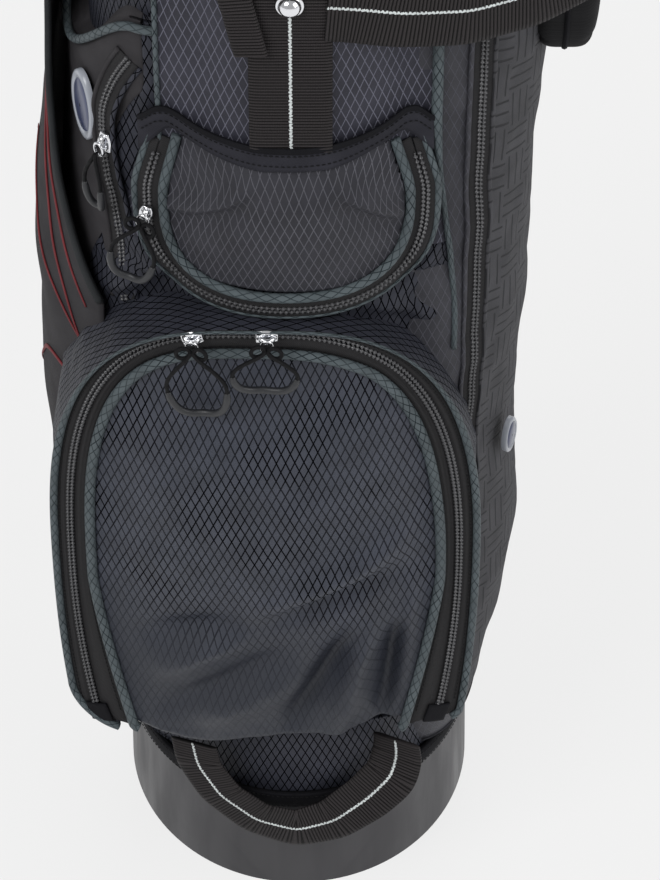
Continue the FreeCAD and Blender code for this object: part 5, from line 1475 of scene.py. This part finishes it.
def build_lower_handle():
    """The hanging loop of webbing below the ball pocket: it twists a little on its way round."""
    path = resampled(HANDLE_KNOTS, 2.0)
    path = eased(path, 7)
    path = resampled(path, path_lengths(path)[-1] / 59)[:60]
    share = np.linspace(0, 1, len(path))
    turn = math.pi * (1 + share)
    lean = np.radians(-30 + 62 * share)
    radial = np.stack([np.cos(turn), 0 * turn, np.sin(turn)], 1)
    wide = radial * np.cos(lean)[:, None] + np.array([[0, -1.0, 0]]) * np.sin(lean)[:, None]
    along, _, _ = path_frames(path, np.tile([[0, -1.0, 0]], (len(path), 1)))
    normal = unit(np.cross(wide, along))
    normal *= np.sign(-normal[:, 1:2])
    webbing_band("lower_handle_band", path, normal, HANDLE_WIDTH, body="lower_handle",
                 replaces=["lower_handle"])


# ---------------------------------------------------------------- zip sliders and pulls

SLIDER_SECTION = ((-1, 0.0), (-1, 0.55), (-0.82, 0.95), (0, 1.1), (0.82, 0.95), (1, 0.55), (1, 0.0),
                  (0, -0.15))


def build_slider(name, place, along, outward, scale=1.0):
    """A plated slider: a waisted plate with a crowned top and a bridge over it that holds the pull."""
    along, outward = unit(along), unit(outward)
    along = unit(along - outward * np.dot(along, outward))
    side = np.cross(outward, along)
    place = np.asarray(place, float)
    rings = []
    for share in np.linspace(-1, 1, 15):
        half = scale * (4.6 - 1.5 * max(0.0, share) ** 2 + 0.25 * math.cos(3 * share))
        reach = share * 6.2 * scale
        rings.append([place + along * reach + side * across * half + outward * (rise * 2.0 * scale)
                      for across, rise in SLIDER_SECTION])
    grid = np.array(rings)
    body = tube_piece(f"{name}_plate", grid, np.zeros((*grid.shape[:2], 2)), "chrome", body=name,
                      slot="stud_chrome", replaces=[name])
    bevelled(body, 0.35)
    arch = np.linspace(0, math.pi, 14)
    reach, rise = -np.cos(arch) * 4.2 * scale, 1.6 + np.sin(arch) * 3.4
    path = place + np.outer(reach, along) + np.outer(rise, outward) * scale
    section = [(-0.75, -1.5), (0.75, -1.5), (0.75, 1.5), (-0.75, 1.5)]
    capped_sweep(f"{name}_bridge", path, np.tile(side, (14, 1)), section,
                 "chrome", body=name, slot="stud_chrome")


def bevelled(item, width, segments=2):
    """Rounds a hard piece's sharp edges."""
    modifier = item.modifiers.new("edges", "BEVEL")
    modifier.width = width * MM
    modifier.segments = segments
    modifier.limit_method = "ANGLE"
    modifier.angle_limit = math.radians(40)
    modifier.harden_normals = False


def build_pull(name, eye, down, outward, length, wide, swing=0.0, ears=True):
    """A zip pull: a wire link, two small side loops of cord and a long loop with a moulded grip."""
    eye = np.asarray(eye, float)
    down, outward = unit(down), unit(outward)
    outward = unit(outward - down * np.dot(down, outward))
    side = unit(np.cross(down, outward))
    side = side * math.cos(swing) + down * math.sin(swing)
    down = unit(np.cross(outward, side)) * np.sign(np.dot(np.cross(outward, side), down))

    def at(across, below, out):
        return eye + np.outer(across, side) + np.outer(below, down) + np.outer(out, outward)

    turns = np.linspace(0, 2 * math.pi, 36, endpoint=False)
    link = at(3.3 * np.sin(turns), 3.0 - 4.2 * np.cos(turns), 0.6 + 0 * turns)
    capped_sweep(f"{name}_link", link, np.tile(outward, (36, 1)), round_section(0.85, 8), "chrome",
                 body=name, closed=True, slot="stud_chrome", replaces=[name])
    share = np.linspace(0, 1, 90)
    spread = wide / 2 * np.sin(math.pi * share) ** 0.7 * (0.12 + 0.88 * smooth(share, 0.05, 0.5))
    drop = 5 + (length - 5) * (1 - np.cos(math.pi * share)) / 2
    hang = 2.2 + 4.4 * np.sin(math.pi * share)
    half = at(spread, drop, hang)
    other = at(-spread, drop, hang)
    loop = np.vstack([half, other[::-1][1:-1]])
    loop = resampled(np.vstack([loop, loop[:1]]), 1.2)[:-1]
    capped_sweep(f"{name}_cord", loop, np.tile(outward, (len(loop), 1)), round_section(1.25, 10),
                 "cord", body=name, closed=True, slot="pull_rubber",
                 scale=1.0 + 0.06 * np.sin(np.arange(len(loop)) * 1.3))
    low = np.where((loop - eye) @ down > length * 0.60)[0]
    grip_path = loop[low[0]:low[-1] + 1]
    ends = np.minimum(np.arange(len(grip_path)), np.arange(len(grip_path))[::-1])
    capped_sweep(f"{name}_grip", grip_path, np.tile(outward, (len(grip_path), 1)),
                 round_section(2.35, 12, 0.85), "grip", body=name, slot="pull_rubber",
                 scale=0.72 + 0.28 * smooth(ends, 0, 4))
    if ears:
        for which, sign in (("a", -1), ("b", 1)):
            bend = np.linspace(0, 2 * math.pi, 30, endpoint=False)
            ear = at(sign * (4.9 + 3.8 * np.cos(bend)), 5.0 - 3.9 * np.sin(bend) - sign * 0.4,
                     3.6 + 1.0 * np.cos(bend))
            capped_sweep(f"{name}_ear_{which}", ear, np.tile(outward, (30, 1)), round_section(1.25, 8),
                         "cord", body=name, closed=True, slot="pull_rubber")


def joint_axis_point(name):
    """Where a hinge's axis passes, in millimetres."""
    return [np.array(joint["pos_m"]) / MM for joint in frame["joints"] if joint["name"] == name][0]


def build_zip_hardware():
    """Every slider and its pull, standing on the drawn zips."""
    pulls = (("ball_left", 53.0, 35.0, 0.12), ("ball_right", 36.0, 37.0, -0.06))
    for name, length, wide, swing in pulls:
        side = name.split("_")[1]
        eye = joint_axis_point(f"ball_pull_{side}_swing")
        place, outward = ball_zip_place(eye[0])
        along = (1, 0, 0.28 if side == "left" else 0.0)
        build_slider(f"ball_slider_{side}", place, along, outward)
        build_pull(f"ball_pull_{side}", place + outward * 5.2, (0, 0, -1), outward, length, wide, swing)
    eye = joint_axis_point("valuables_pull_swing")
    place, outward = small_zip_place(eye[2])
    build_slider("valuables_slider", place + outward * 0.8, (0.25, 0, 1), outward, 0.84)
    build_pull("valuables_pull", place + outward * 5.0, (-0.25, 0, -1), outward, 44, 26, 0.05)
    for name, low_length, wide in (("apparel", 44, 13), ("side", 46, 14)):
        low, high = node_box(f"{name}_slider")
        eye = joint_axis_point(f"{name}_pull_swing")
        centre = (low + high) / 2
        outward = unit(eye - centre) * np.array([1, 1, 0])
        outward = unit(outward)
        build_slider(f"{name}_slider", centre - outward * 2.2, (0, 0, 1), outward)
        build_pull(f"{name}_pull", eye, (0, 0, -1), outward, low_length, wide, 0.0, ears=False)


# ---------------------------------------------------------------- base, rim, collar and hardware

def build_rim_binding():
    """The ribbed binding that finishes the cloth where it meets the base cup."""
    turns = np.linspace(0, 2 * math.pi, 260, endpoint=False)
    half_x, half_y = 111.8, 120.6
    path = np.stack([half_x * np.sin(turns), -half_y * np.cos(turns), 84 + 0.8 * np.sin(3 * turns)], 1)
    up = unit(np.stack([np.sin(turns) / half_x, -np.cos(turns) / half_y, 0 * turns], 1))
    capped_sweep("rim_binding_band", path, up, strip_section(13.0, 2.6, 9, 0.8), "binding", closed=True,
                 slot="binding", replaces=["base_rim_binding"])
    for index, z in enumerate((79.5, 88.5)):
        line = np.stack([(half_x + 2.3) * np.sin(turns), -(half_y + 2.3) * np.cos(turns),
                         z + 0 * turns], 1)
        stitches(f"rim_stitches_{index}", line, up)


def build_dividers():
    """The four cloth walls between the club wells, slightly slack, under the hard cross."""
    low, high = node_box("divider_panels")
    heights = np.linspace(low[2] + 1, high[2], 90)
    for index, (start, end) in enumerate((((0, 0), (1, 0)), ((0, 0), (-1, 0)), ((0, 0), (0, 1)),
                                          ((0, 0), (0, -1)))):
        reach = high[0] - 2 if start[0] != end[0] else high[1] - 2
        distances = np.linspace(2, reach, 40)
        d, z = np.meshgrid(distances, heights, indexing="xy")
        slack = 1.6 * ripples(d, z, SEED + 20 + index, 130) * np.sin(math.pi * (d - 2) / (reach - 2))
        x = end[0] * d + end[1] * slack
        y = end[1] * d + end[0] * slack
        grid_piece(f"divider_cloth_{index}", np.stack([x, y, z], -1), np.stack([d, z], -1), "lining",
                   thick=1.2, slot="lining", replaces=["divider_panels"] if index == 0 else [])


KEPT = {"base_cup": ("base_plastic", 1.4), "inner_floor": ("lining", 0.8),
        "top_collar": ("base_plastic", 1.8), "divider_cross": ("base_plastic", 1.6),
        "leg_bracket": ("hard_plastic", 0.8), "body_stays": ("fibreglass", 0.3),
        "spine_plate": ("hard_plastic", 0.6), "rod_guides": ("hard_plastic", 0.6),
        "bracket_screws": ("steel", 0.2), "hinge_pins": ("steel", 0.3),
        "crosshead": ("hard_plastic", 0.6), "base_lever": ("hard_plastic", 0.8),
        "actuator_rod": ("steel", 0.2)}
for leg_side in ("left", "right"):
    KEPT[f"leg_head_{leg_side}"] = ("hard_plastic", 0.8)
    KEPT[f"leg_clip_{leg_side}"] = ("hard_plastic", 0.4)
    KEPT[f"leg_tube_{leg_side}"] = ("leg_alloy", 0.3)
    KEPT[f"leg_foot_{leg_side}"] = ("foot_rubber", 0.8)
    KEPT[f"stand_link_{leg_side}"] = ("steel", 0.2)


def finish_kept_nodes():
    """Gives every hard CAD node its material and slightly rounded edges."""
    for name, (material, width) in KEPT.items():
        item = frame["nodes"][name]
        item.data.materials.clear()
        item.data.materials.append(MATERIALS[material])
        if width:
            bevelled(item, width)


build_stage()
build_trunk()
build_front_panel()
build_ball_pocket()
build_small_pocket()
build_side("apparel_cloth", LEFT, -SIDE_OFFSET, APPAREL_ZIP, apparel_shoulder, "ripstop_dark",
           "charcoal", "apparel_pocket", SEED + 5, 500, 690, "apparel_zip")
build_side("side_cloth", RIGHT, SIDE_OFFSET, ((330, 105), (786, 105)), side_shoulder, "ripstop_side",
           "charcoal_pressed", "side_pocket", SEED + 6, 330, 786, "side_zip")
build_shoulder_piping()
build_slash_panel()
build_badges()
build_front_webbing()
build_strap()
build_rear_strap()
build_pads()
build_lower_handle()
build_zip_hardware()
build_rim_binding()
build_dividers()
finish_kept_nodes()
